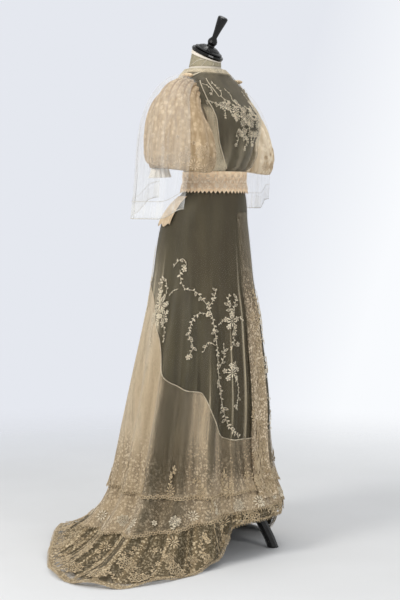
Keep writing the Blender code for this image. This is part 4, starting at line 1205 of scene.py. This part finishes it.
def makeCollar():
    angle, share = np.meshgrid(np.linspace(0, 360, 96, endpoint=False), np.linspace(0.98, 0.02, 14))
    grid = collarAt(angle, share, 0.0008)
    veil = 0.50 + 0.50 * (1 - ease(34, 62, np.abs(wrapped(angle))))
    putCloth("collarNet", "collar", grid, wall["collar"], "collar",
             round_=True, veil=veil)
    surface = Surface(collarAt, (0.5, 0.01))
    work = LaceWork(surface, 0.0010)
    for line, width in (([(-118, .10), (-100, .30), (-84, .52), (-66, .72)], .0016),
                        ([(-70, .04), (-62, .36), (-56, .72)], .0012),
                        ([(-30, .06), (-26, .40), (-24, .72)], .0012), ([(30, .06), (26, .40), (24, .72)], .0012),
                        ([(118, .10), (100, .30), (84, .52), (66, .72)], .0016)):
        work.cord(line, width, 0.0007, 6)
    work.add(dot, 0, .5, 0, 0.5)
    putMesh("collarStitch", work.mesh("collarStitch"), "whiteLace")
    angle, share = np.meshgrid(np.linspace(0, 360, 96, endpoint=False), np.linspace(0.97, 0.76, 6))
    grid = collarAt(angle, share, 0.0028)
    putCloth("collarBand", "collar_band", grid, wall["band"], "whiteLace",
             round_=True)


makeCollar()
print("bodice and collar made")

# sleeves: rings of out, back, height, across, deep, tilt, droop
sleeve = {"rings": [(.157, .012, 1.400, .067, .050, -8, 0), (.174, .012, 1.391, .075, .062, 18, 0),
                    (.207, .006, 1.358, .081, .084, 47, .004), (.222, -.004, 1.308, .080, .107, 72, .008),
                    (.230, -.012, 1.246, .080, .115, 90, .016), (.226, -.006, 1.196, .068, .100, 92, .016),
                    (.222, .064, 1.198, .030, .028, 94, 0)],
          "cape": [(.158, .012, 1.400, .0704, .0568, -7, 0), (.178, .012, 1.393, .086, .077, 18, 0),
                   (.210, .008, 1.358, .094, .099, 47, 0), (.228, .002, 1.306, .093, .119, 72, 0),
                   (.236, .002, 1.208, .093, .127, 90, 0), (.244, .014, 1.042, .100, .123, 90, 0)],
          "armholeOut": .157,
          "sides": {"Right": (-1, 1.00, 0.0, 0.0, .0010), "Left": (1, .79, .016, .030, 0.0)}}


def ringAt(rings, place, turn, side, swell=0.0):
    direction, fullness, back, hem, snug = sleeve["sides"][side]
    place, turn, swell = np.broadcast_arrays(place, turn, swell)
    rows = np.array(rings, float)
    out, behind, height, across, deep, tilt, droop = [
        smoothRead(np.arange(len(rows)), rows[:, k], place) for k in range(7)]
    part = np.clip(place, 0, 1)  # the armhole itself is not narrowed on the smaller side
    full = 1 + (fullness - 1) * part
    out = sleeve["armholeOut"] + (out - sleeve["armholeOut"]) * full
    tilt, angle = np.radians(tilt), np.radians(turn)
    ahead = (deep * full + swell) * np.cos(angle)
    rise = (across * full + swell) * np.sin(angle)
    x = -out - np.sin(tilt) * rise
    y = behind + back * part + ahead
    z = height + np.cos(tilt) * rise + droop * np.cos(angle)
    return np.stack([-direction * x, y, z], -1)


def puffSwell(place, turn):
    # gathers run from the shoulder and die out at the fullest part, then draw in to the cuff
    top = 1 - ease(0.2, 2.6, place)
    low = ease(4.2, 5.4, place)
    fine = np.cos(np.radians(turn * 22 + 30 * np.sin(np.radians(turn * 3)))) * 0.0022
    broad = np.cos(np.radians(turn * 9 + 20 * place + 50 * np.sin(np.radians(turn * 2)))) * 0.0030
    return fine * (0.35 + 0.65 * np.maximum(top, low)) + broad * ease(0.4, 2.0, place) * (1 - 0.4 * low)


def makeSleeves():
    for side, low in (("Right", "right"), ("Left", "left")):
        flip = side == "Right"
        place, turn = np.meshgrid(np.linspace(0, 6, 60), np.linspace(0, 360, 168, endpoint=False), indexing="ij")
        grid = ringAt(sleeve["rings"], place, turn, side, puffSwell(place, turn))
        # painted shade: the attribute drops in the gather valleys, most near the shoulder and cuff, and the puff
        # finish paints brown there
        gather = np.cos(np.radians(turn * 22 + 30 * np.sin(np.radians(turn * 3))))
        deep = np.maximum(0.45, np.maximum(1 - ease(0.8, 3.6, place), ease(4.0, 5.2, place)))
        veil = 1 - deep * (1 - ease(-1.0, -0.1, gather))
        # the far sleeve takes the lightened copy of the lace, painted light against its shade
        putCloth("sleeve" + side, "sleeve_" + low, grid, wall["satin"], "puff" if flip else "farPuffLitCopy",
                 round_=True, veil=veil, flip=not flip)

        turns = np.linspace(0, 360, 144, endpoint=False)
        drops = np.linspace(0.001, 0.031, 8)[:, None]
        grow = np.interp(drops, [.001, .016, .031], [-.0029, -.001, .003])
        wave = (0.0006 + 0.10 * drops) * np.cos(np.radians(turns[None] * 12))
        grid = ringAt(sleeve["rings"], 6.0 + 0 * wave, turns[None] + 0 * wave, side, grow + wave)
        grid[..., 2] -= drops
        putCloth("frill" + side, "sleeve_frill_" + low, grid, wall["net"], "whiteNet",
                 round_=True, veil=0.7, flip=not flip)


makeSleeves()


def capeRead(side, share, place, lift):
    share, place, lift = np.broadcast_arrays(np.asarray(share, float), np.asarray(place, float),
                                             np.asarray(lift, float))
    low = place / 5
    backEdge = -46 * (0.3 + 0.7 * ease(0.1, 0.8, low))
    turn = backEdge + (136 - backEdge) * share
    direction, fullness, back, hem, snug = sleeve["sides"][side]
    wave = 0.007 * ease(0.45, 1, low) * np.sin(2 * np.pi * 4 * share)
    wave = wave + 0.0016 * ease(0.1, 0.8, low) * np.sin(2 * np.pi * (11 * share + 0.2 * low))
    wave = np.where(place < 0.999, wave - snug * (1 - place), wave)
    points = ringAt(sleeve["cape"], place, turn, side, wave + lift)
    points[..., 2] += ease(0.55, 1.0, low) * (
        0.065 * (1 - ease(0, 0.38, share)) + 0.030 * ease(0.80, 1.0, share) + hem)
    return points


def makeCapes():
    for side, low in (("Right", "right"), ("Left", "left")):
        flip = side == "Right"
        place, share = np.meshgrid(np.linspace(0, 5, 48), np.linspace(0, 1, 130), indexing="ij")
        grid = capeRead(side, share, place, 0.0)
        folds = 0.6 * np.maximum(np.sin(2 * np.pi * (4 * share + 0.12)), 0) ** 6 + 0.5 * np.maximum(
            np.sin(2 * np.pi * (11 * share + 0.2)), 0) ** 10
        edge = ease(0.985, 0.995, share) + (1 - ease(0.005, 0.015, share))
        veil = 0.05 + 0.36 * folds * ease(0.2, 1.0, place / 5) + 0.08 * edge + 0.22 * ease(4.68, 4.70, place)
        putCloth("cape" + side, "oversleeve_" + low, grid, wall["net"], "cape",
                 veil=veil, flip=not flip)


makeCapes()


def makeHeads():
    # the gathered knots of lace on the shoulders: lobed and pinched
    for side, low, direction in (("Right", "right", -1), ("Left", "left", 1)):
        across, around = np.meshgrid(np.linspace(0.02, math.pi - 0.02, 20),
                                     np.linspace(0, 2 * math.pi, 54, endpoint=False),
                                     indexing="ij")
        lobe = (1 + 0.12 * np.cos(9 * around) * np.sin(across) ** 2
                + 0.05 * np.cos(17 * around + 2) * np.sin(across) ** 2)
        crimp = 1 + 0.22 * np.cos(7 * around + 1.3) * np.sin(across)
        grid = np.stack([0.0120 * lobe * np.sin(across) * np.cos(around),
                         0.0180 * lobe * np.sin(across) * np.sin(around),
                         0.0066 * crimp * np.cos(across)], -1) + (direction * 0.1535, 0.008, 1.4765)
        rows, columns = grid.shape[:2]
        points = np.concatenate([grid.reshape(-1, 3), [(direction * 0.1535, 0.008, 1.4831),
                                                       (direction * 0.1535, 0.008, 1.4699)]])
        faces = []
        for r in range(rows - 1):
            for c in range(columns):
                n = (c + 1) % columns
                faces.append((r * columns + c, (r + 1) * columns + c, (r + 1) * columns + n, r * columns + n))
        for c in range(columns):
            n = (c + 1) % columns
            faces.append((rows * columns, c, n))
            faces.append((rows * columns + 1, (rows - 1) * columns + n, (rows - 1) * columns + c))
        mesh = bpy.data.meshes.new("sleeveHead" + side)
        mesh.from_pydata((points + bodyAxis).tolist(), [], faces)
        mesh.shade_smooth()
        piece = putMesh("sleeveHead" + side, mesh, "puffMotif")
        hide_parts("sleeve_head_" + low)


makeHeads()
print("sleeves made")


def bandAt(angle, height, lift=0.0):
    angle, height, lift = np.broadcast_arrays(np.asarray(angle, float), np.asarray(height, float),
                                              np.asarray(lift, float))
    flare = np.interp(height, [1.122, 1.153, 1.186], [0.0022, 0.0008, 0.0])
    clear = 0.0022 + flare + lift
    upper = onSection(form["sections"], height, angle, netStandOff(height) + clear)
    lower = skirtAt(angle, dropAt(angle, np.minimum(height, 1.1499)), skirt["netLift"] + clear)
    mix = ease(1.158, 1.142, height)[..., None]
    return upper * (1 - mix) + lower * mix


bandSurface = Surface(bandAt, (0.5, 0.001))


def makeBand():
    teeth = 50
    angles = np.linspace(0, 360, teeth * 8, endpoint=False)
    tooth = np.abs((angles / 360 * teeth) % 1 - 0.5) * 2
    share = np.linspace(0, 1, 16)[:, None]
    bottom = 1.1175 + 0.009 * tooth[None]
    height = 1.1870 + (bottom - 1.1870) * share
    grid = bandAt(angles[None] + 0 * height, height,
                  0.0012 + 0.0004 * np.cos(np.radians(angles[None] * 9 + 300 * share)))
    putCloth("laceBelt", "waistband", grid, wall["belt"], "band",
             round_=True, veil=1.0)


makeBand()
print("waistband made")


# applied lace: anchors are angle and drop or height, the second side is mirrored and has other leaves
def bothSides(work, stems, side, other):
    for anchors, seed, every, size, tip in stems:
        work.vine([(a * side, d) for a, d in anchors], seed + other, every, size, tip)


def skirtVines():
    work = LaceWork(skirtSurface, skirt["netLift"] + 0.0007)
    big, half, small = daisy(9, 0.0040, 0.0150, 0.0046), daisy(6, 0.0040, 0.0140, 0.0046, -40, 220), blossom()
    # stems on both sides: anchors, seed, gap of the leaves, size, tip
    stems = [([(-92, .292), (-87, .272), (-81, .262), (-76, .280), (-78, .298)], 3, 0.009, 0.85, small),
             ([(-83, .300), (-82, .330), (-76, .365), (-66, .372), (-57, .402), (-50, .445), (-47, .500)],
              4, 0.0095, 0.95, None),
             ([(-84, .366), (-90, .374), (-95, .392)], 6, 0.009, 0.8, None),
             ([(-47, .500), (-44, .575), (-43, .660), (-40, .735), (-36, .800), (-31, .850), (-22, .880)],
              9, 0.0075, 1.0, None),
             ([(-52, .430), (-47, .405), (-43, .372)], 12, 0.009, 0.85, budLeaf),
             ([(-50, .462), (-57, .448), (-64, .455), (-69, .488), (-70, .530), (-66, .565), (-70, .600)],
              15, 0.0100, 0.85, small),
             ([(-46, .560), (-52, .548), (-56, .580)], 17, 0.010, 0.8, None),
             ([(-42, .640), (-37, .600), (-37, .560)], 18, 0.010, 0.85, budLeaf)]
    for side, other in ((1, 0), (-1, 40)):
        bothSides(work, stems, side, other)
        for k, (a, d, turn, size, shape) in enumerate((
                (-106, .420, 20, 1.05, big), (-101, .462, -30, 1.0, big), (-112, .470, 60, 0.95, big),
                (-107, .388, 0, 0.9, half), (-97, .418, 40, 0.8, small), (-28, .478, 0, 1.05, big),
                (-25, .450, 10, 0.85, half), (-27, .512, 180, 0.9, half), (-30, .655, -10, 0.95, big),
                (-26, .632, 30, 0.8, half), (-22, .560, 0, .8, small))):
            work.add(shape, a * side, d, turn * side, size)
            if shape is big:
                for step in (10, 80, 155, 230, 300):
                    lean = math.radians(step + 23 * k)
                    work.add(small, (a + 6.5 * math.cos(lean)) * side, d + 0.024 * math.sin(lean), step,
                             0.70 + 0.05 * (k % 3))
        for anchors, seed in (([(-107, .400), (-110, .360), (-108, .330)], 21),
                              ([(-101, .400), (-99, .365), (-101, .340)], 22),
                              ([(-112, .480), (-117, .520), (-114, .560)], 23),
                              ([(-103, .480), (-98, .510), (-97, .545)], 24),
                              ([(-28, .445), (-31, .415), (-29, .392)], 25),
                              ([(-25, .440), (-22, .418), (-20, .400)], 26),
                              ([(-28, .515), (-27, .548), (-30, .572)], 27),
                              ([(-27, .665), (-24, .700), (-24, .745), (-27, .775)], 28),
                              ([(-34, .480), (-38, .475), (-41, .485)], 29),
                              ([(-22, .470), (-18, .466), (-15, .475)], 30)):
            bothSides(work, [(anchors, seed, 0.0085, 0.85, budLeaf)], side, other)
    # four sprays hang from the waist at the back
    for a, d, seed in ((-140, .34, 61), (-168, .44, 62), (168, .30, 63), (142, .40, 64)):
        work.add(big, a, d, 0, 1.0)
        work.vine([(a, d + .02), (a + 3, d + .09), (a - 2, d + .17)], seed, 0.010, 0.95, tip=small)
        work.vine([(a, d - .02), (a - 3, d - .07), (a + 1, d - .11)], seed + 7, 0.010, 0.9, tip=budLeaf)
    putMesh("skirtVines", work.mesh("skirtVines"), "applied")


skirtVines()


def spaced(first, last, top, bottom, stepU, stepV, seed, wander=0.25):
    # uneven places on a grid, every other row moved by half a step
    rnd = random.Random(seed)
    rows = max(int(round(abs(bottom - top) / stepV)), 1)
    for r in range(rows):
        v = top + (bottom - top) * (r + 0.5) / rows
        u = first + (stepU / 2 if r % 2 else 0)
        while u < last:
            yield u + rnd.uniform(-wander, wander) * stepU, v + rnd.uniform(-wander, wander) * stepV
            u += stepU


def evenAngles(edge, spacing, shift=0.0):
    # angles an even distance apart along an edge of the skirt
    angles = np.linspace(-180, 180, 721)
    line = skirtAt(angles, edge(angles))
    keys = lengths(line)
    count = int(round(keys[-1] / spacing))
    return np.interp((np.arange(count) + shift) / count * keys[-1], keys, angles)


def tierLaceWork():
    big, small = daisy(10, 0.0062, 0.0170, 0.0052), blossom(6, 0.0085, 0.007)
    wheel, wide = medallion(0.022, 8), medallion(0.034, 9)
    sprays = [spray(k, 7, 0.052, 26 + 4 * k) for k in range(4)]
    rnd = random.Random(77)

    def wander(angle, much=1.2):
        return float(angle) + rnd.uniform(-much, much)

    # over the lower part of the net flounce: sprays with wide gaps
    work = LaceWork(skirtSurface, 0.0128)
    for k, angle in enumerate(evenAngles(lambda a: tierDrop(a, "upper"), 0.115)):
        edge = float(tierDrop(angle, "upper"))
        work.add(big if k % 2 else wheel, angle, edge - 0.040, rnd.uniform(0, 360), rnd.uniform(0.8, 1.0))
        work.add(rnd.choice(sprays), wander(angle), edge - 0.062, rnd.uniform(-20, 20), rnd.uniform(0.8, 1.0),
                 rnd.random() < 0.5)
        if k % 2:
            work.add(small, wander(angle, 3), edge - 0.125, rnd.uniform(0, 60), 0.8)
    putMesh("upperTierLace", work.mesh("upperTierLace"), "warmLace")
    # medallions and leaves of the middle tier
    work = LaceWork(skirtSurface, 0.0112)
    for k, angle in enumerate(evenAngles(lambda a: tierDrop(a, "middle"), 0.085, 0.4)):
        top, edge = float(tierDrop(angle, "upper", 0.0)), float(tierDrop(angle, "middle"))
        work.add((wheel, big, small)[k % 3], wander(angle), edge - 0.36 * (edge - top), rnd.uniform(0, 360),
                 rnd.uniform(0.8, 1.0))
        if k % 2:
            work.add(rnd.choice(sprays), wander(angle + 1.4), edge - 0.014, rnd.uniform(-30, 30),
                     rnd.uniform(0.65, 0.85), rnd.random() < 0.5)
    putMesh("middleTierLace", work.mesh("middleTierLace"), "applied")
    # the hem and train: large wheels near the edge, leafy stems between them and smaller flowers above
    work = LaceWork(skirtSurface, skirt["hemLift"] + 0.0010)
    first = lambda a: float(tierDrop(a, "middle")) + 0.03
    room = lambda a: 0.5 if -58 < a < -33 else 1.0  # the steep side of the train
    for angle in evenAngles(lambda a: 1.87 + 0 * a, 0.125):
        work.add(wide, angle, 1.865, rnd.uniform(0, 360), room(angle) * rnd.uniform(0.85, 1.05))
    for k, angle in enumerate(evenAngles(lambda a: 1.87 + 0 * a, 0.125, 0.5)):
        work.add(rnd.choice(sprays), angle, 1.925, rnd.uniform(-30, 30), room(angle) * rnd.uniform(0.95, 1.15),
                 k % 2 == 0)
        if first(angle) < 1.68:
            work.add(wheel if k % 2 else wide, wander(angle), 1.69 + rnd.uniform(-.02, .02), rnd.uniform(0, 360),
                     room(angle) * rnd.uniform(0.85, 1.0))
    for k, angle in enumerate(evenAngles(lambda a: 1.60 + 0 * a, 0.125, 0.2)):
        if first(angle) < 1.60:
            work.add(rnd.choice(sprays), wander(angle), 1.70, rnd.uniform(-25, 25), rnd.uniform(0.9, 1.1), k % 2 == 0)
        if first(angle) < 1.52:
            work.add((big, small)[k % 2], wander(angle), 1.53 + rnd.uniform(-.02, .02), rnd.uniform(0, 360), 0.9)
        if first(angle) < 1.38:
            work.add(rnd.choice([small, openLeaf]), wander(angle + 2), 1.40, rnd.uniform(0, 360), 0.9)
    putMesh("hemLaceWork", work.mesh("hemLaceWork"), "warmLace")


tierLaceWork()


def goreLaceWork():
    big, small = daisy(10, 0.0048, 0.0135, 0.0042), blossom(5, 0.0066, 0.0058)
    sprays = [spray(20 + k, 6, 0.038, 20 + 5 * k) for k in range(3)]
    work = LaceWork(skirtSurface, 0.0170)
    work.add(big, -3, .470, 0, 1.0)
    work.add(big, 4, .560, 30, 1.0)
    work.add(big, 5, .655, 60, 0.9)
    work.vine([(-7, .505), (-2, .520), (4, .505), (8, .470)], 81, 0.0085, 0.8, tip=small)
    work.vine([(5, .450), (7, .410), (4, .380)], 82, 0.0085, 0.75, tip=small)
    work.vine([(3, .585), (-3, .615), (-5, .655)], 83, 0.0085, 0.75, tip=small)
    rnd = random.Random(9)
    for u, v in spaced(-9.5, 10.5, 0.70, 1.57, 5.2, 0.055, 10, 0.2):
        thick = float(ease(0.66, 0.95, v))
        if rnd.random() < 0.30 + 0.55 * thick:
            work.add(rnd.choice([big, small] + sprays), min(max(u, -9.3), 9.3), v, rnd.uniform(-60, 60),
                     rnd.uniform(0.6, 0.85), rnd.random() < 0.5)
    putMesh("goreLaceWork", work.mesh("goreLaceWork"), "warmLace")


goreLaceWork()


def bodiceLaceWork():
    big, small = daisy(9, 0.0042, 0.0120, 0.0040), blossom(5, 0.0066, 0.0056)
    sprays = [spray(30 + k, 6, 0.036, 25 + 6 * k) for k in range(3)]
    work = LaceWork(bodiceSurface, 0.0008)
    # stems on both sides: anchors, seed, gap of the leaves, size, tip
    stems = [([(54, 1.452), (46, 1.446), (43, 1.430), (48, 1.420)], 101, 0.0085, 0.60, small),
             ([(36, 1.462), (33, 1.444), (30, 1.428), (34, 1.412), (28, 1.398)], 102, 0.0080, 0.70, small),
             ([(62, 1.400), (54, 1.396), (46, 1.386), (38, 1.372), (30, 1.360), (22, 1.346), (12, 1.330)],
              103, 0.0075, 0.75, small),
             ([(46, 1.384), (44, 1.366), (47, 1.350)], 104, 0.0080, 0.65, budLeaf),
             ([(20, 1.440), (17, 1.420), (20, 1.402), (15, 1.388)], 108, 0.0085, 0.65, small),
             ([(28, 1.318), (31, 1.300), (27, 1.284), (30, 1.266)], 105, 0.0085, 0.70, small),
             ([(14, 1.318), (17, 1.296), (12, 1.276), (15, 1.254)], 106, 0.0080, 0.70, small),
             ([(2, 1.312), (4, 1.290), (1, 1.268)], 107, 0.0080, 0.70, small)]
    for side, other in ((-1, 0), (1, 30)):
        bothSides(work, stems, side, other)
        for a, h, size in ((36, 1.380, .85), (27, 1.372, .9), (31, 1.350, .8), (19, 1.358, .9), (22, 1.334, .85),
                           (10, 1.352, .85), (12, 1.376, .7), (2, 1.366, .8), (6, 1.332, .85), (20, 1.310, .7),
                           (8, 1.302, .8), (42, 1.388, .7), (15, 1.338, .75), (16, 1.400, .6), (3, 1.300, .7),
                           (25, 1.300, .6)):
            work.add(big, a * side, h, 31 * a % 360, size)
        for a, h, turn in ((26, 1.392, 20), (16, 1.384, -20), (6, 1.390, 10), (33, 1.334, 160), (23, 1.290, 170),
                           (9, 1.270, 185), (38, 1.398, 40), (12, 1.312, 150), (1, 1.345, 90), (18, 1.276, 175)):
            work.add(sprays[(a + int(h * 1000)) % 3], a * side, h, turn * side, 0.62, side > 0)
    # insertion lines of the front, and the double line that bounds the pale yoke
    for anchors, width in (([(56, 1.462), (57, 1.430), (58.5, 1.395), (59, 1.350), (57, 1.305), (52, 1.262),
                             (45, 1.225), (36, 1.195)], .0034),
                           ([(44, 1.470), (40, 1.440), (38, 1.412)], .0022),
                           ([(83, 1.450), (77, 1.430), (72, 1.412)], .0022),
                           ([(85, 1.456), (78, 1.470), (68, 1.482), (57, 1.490)], .0030),
                           ([(88, 1.450), (82, 1.464), (72, 1.476), (61, 1.485)], .0022)):
        for side in (-1, 1):
            work.cord([(a * side, h) for a, h in anchors], width, 0.0009, 8)
    for a, h in ((-150, 1.42), (150, 1.42), (-165, 1.36), (168, 1.35), (-150, 1.30), (152, 1.29), (180, 1.43),
                 (180, 1.31)):
        work.add(big, a, h, a, 1.0)
        work.add(sprays[abs(a) % 3], a + 4, h - 0.004, 200, 0.8)
    putMesh("bodiceLaceWork", work.mesh("bodiceLaceWork"), "applied")


bodiceLaceWork()
print("applied lace made")


def sleeveLaceWork():
    big, small, wheel = daisy(11, 0.0050, 0.0150, 0.0044), blossom(6, 0.0080, 0.0068), medallion(0.020, 8)
    sprays = [spray(50 + k, 6, 0.040, 30 + 5 * k) for k in range(3)]
    for side in ("Right", "Left"):
        surface = Surface(lambda turn, place, lift, side=side: ringAt(sleeve["rings"], place, turn, side,
                                                                      puffSwell(place, turn) + lift), (0.5, 0.01))
        work = LaceWork(surface, 0.0006)
        for turn, place, shape, size in ((150, 3.9, wheel, 1.0), (122, 4.15, wheel, 1.0), (176, 4.3, wheel, .9),
                                         (98, 4.35, wheel, .9), (138, 4.5, big, 1.0), (110, 4.6, big, .9),
                                         (160, 4.65, big, .9), (78, 4.5, wheel, .85), (60, 4.6, big, .9),
                                         (30, 4.5, wheel, .85), (200, 4.4, big, .9), (0, 4.5, big, .9),
                                         (-30, 4.4, wheel, .8)):
            work.add(shape, turn, place, turn * 7 % 360, size)
        rnd = random.Random(5)
        for turn, place in spaced(-40, 215, 3.3, 4.4, 26, 0.40, 12, 0.3):
            work.add(rnd.choice([small, dot, budLeaf]), turn, place, rnd.uniform(-40, 40), rnd.uniform(0.55, 0.8))
        putMesh("sleeveLace" + side, work.mesh("sleeveLace" + side), "puffMotif")


sleeveLaceWork()


def bandLaceWork():
    work = LaceWork(bandSurface, 0.0020)
    wheel, small = medallion(0.015, 8), blossom(5, 0.0070, 0.0062)
    for k in range(24):
        angle = 15 * k
        work.add(wheel, angle, 1.150, 15 * k, 1.0)
        work.add(leaf, angle + 5, 1.160, 40, 0.9)
        work.add(leaf, angle - 5, 1.160, -40, 0.9, True)
        work.add(small, angle + 7.5, 1.141, 0, 0.9)
        work.add(small, angle + 7.5, 1.172, 30, 0.8)
    # the motifs take the lightened lace, painted light against the shade on the band
    putMesh("bandLaceWork", work.mesh("bandLaceWork"), "bandMotif")


bandLaceWork()


# picots and stitches, repeated along the edges
def edgePicots():
    loop = ringPatch(roundLine(0.0048, 8) * (1.0, 1.25), 0.50, 0.0008)
    knot = solidPatch(roundLine(0.0019, 6), 0.0012)
    angles = np.linspace(-180, 180, 720, endpoint=False)
    hemLine, seamLine = lambda a: 2.0 + 0 * a, lambda a: tierDrop(a, "seam")
    # each edge, the plain line that its normals are read on, its lift off the skirt and the gap between motifs
    for name, edge, plain, lift, gap, motif, finish in (
            ("hemPicots", hemLine, hemLine, 0.0012, 0.0088, loop, "warmLace"),
            ("upperPicots", lambda a: tierEdge(a, "upper"), lambda a: tierDrop(a, "upper"), 0.0130, 0.0085, loop,
             "warmLace"),
            ("middlePicots", lambda a: tierEdge(a, "middle"), lambda a: tierDrop(a, "middle"), 0.0116, 0.0085, loop,
             "warmLace"),
            ("seamBraid", seamLine, seamLine, 0.0056, 0.0042, knot, "applied")):
        spots, along, share = evenSteps(skirtAt(angles, edge(angles), lift), gap)
        at = np.interp(share, np.linspace(0, 1, 721), np.append(angles, 180))
        outward = fieldRead(skirtNormals, at, np.minimum(plain(at), 1.96))
        piece = repeated(name, spots, outward, along, motif, finishes[finish], 1.0, 0.15, 7)
        flat = np.empty(len(piece.data.vertices) * 3, np.float32)
        piece.data.vertices.foreach_get("co", flat)
        flat[2::3] = np.maximum(flat[2::3], 0.0004)
        piece.data.vertices.foreach_set("co", flat)
        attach(piece, "root")


edgePicots()
print("picots made")


def capeHems():
    # two flat tapes round the lower edge of each over-sleeve
    for side in ("Right", "Left"):
        surface = Surface(lambda share, place, lift, side=side: capeRead(side, share, place, lift), (0.01, 0.02))
        work = LaceWork(surface, 0.0004)
        for place, width in ((4.988, 0.0018), (4.70, 0.0012)):
            work.cord([(s, place) for s in np.linspace(0.005, 0.995, 40)], width, 0.0006, 3)
        work.add(dot, 0.5, 4.84, 0, 0.5)
        putMesh("capeTape" + side, work.mesh("capeTape" + side), "capeTape")


capeHems()
print("tapes made")

print("flat sizes in metres:", flatSizes)
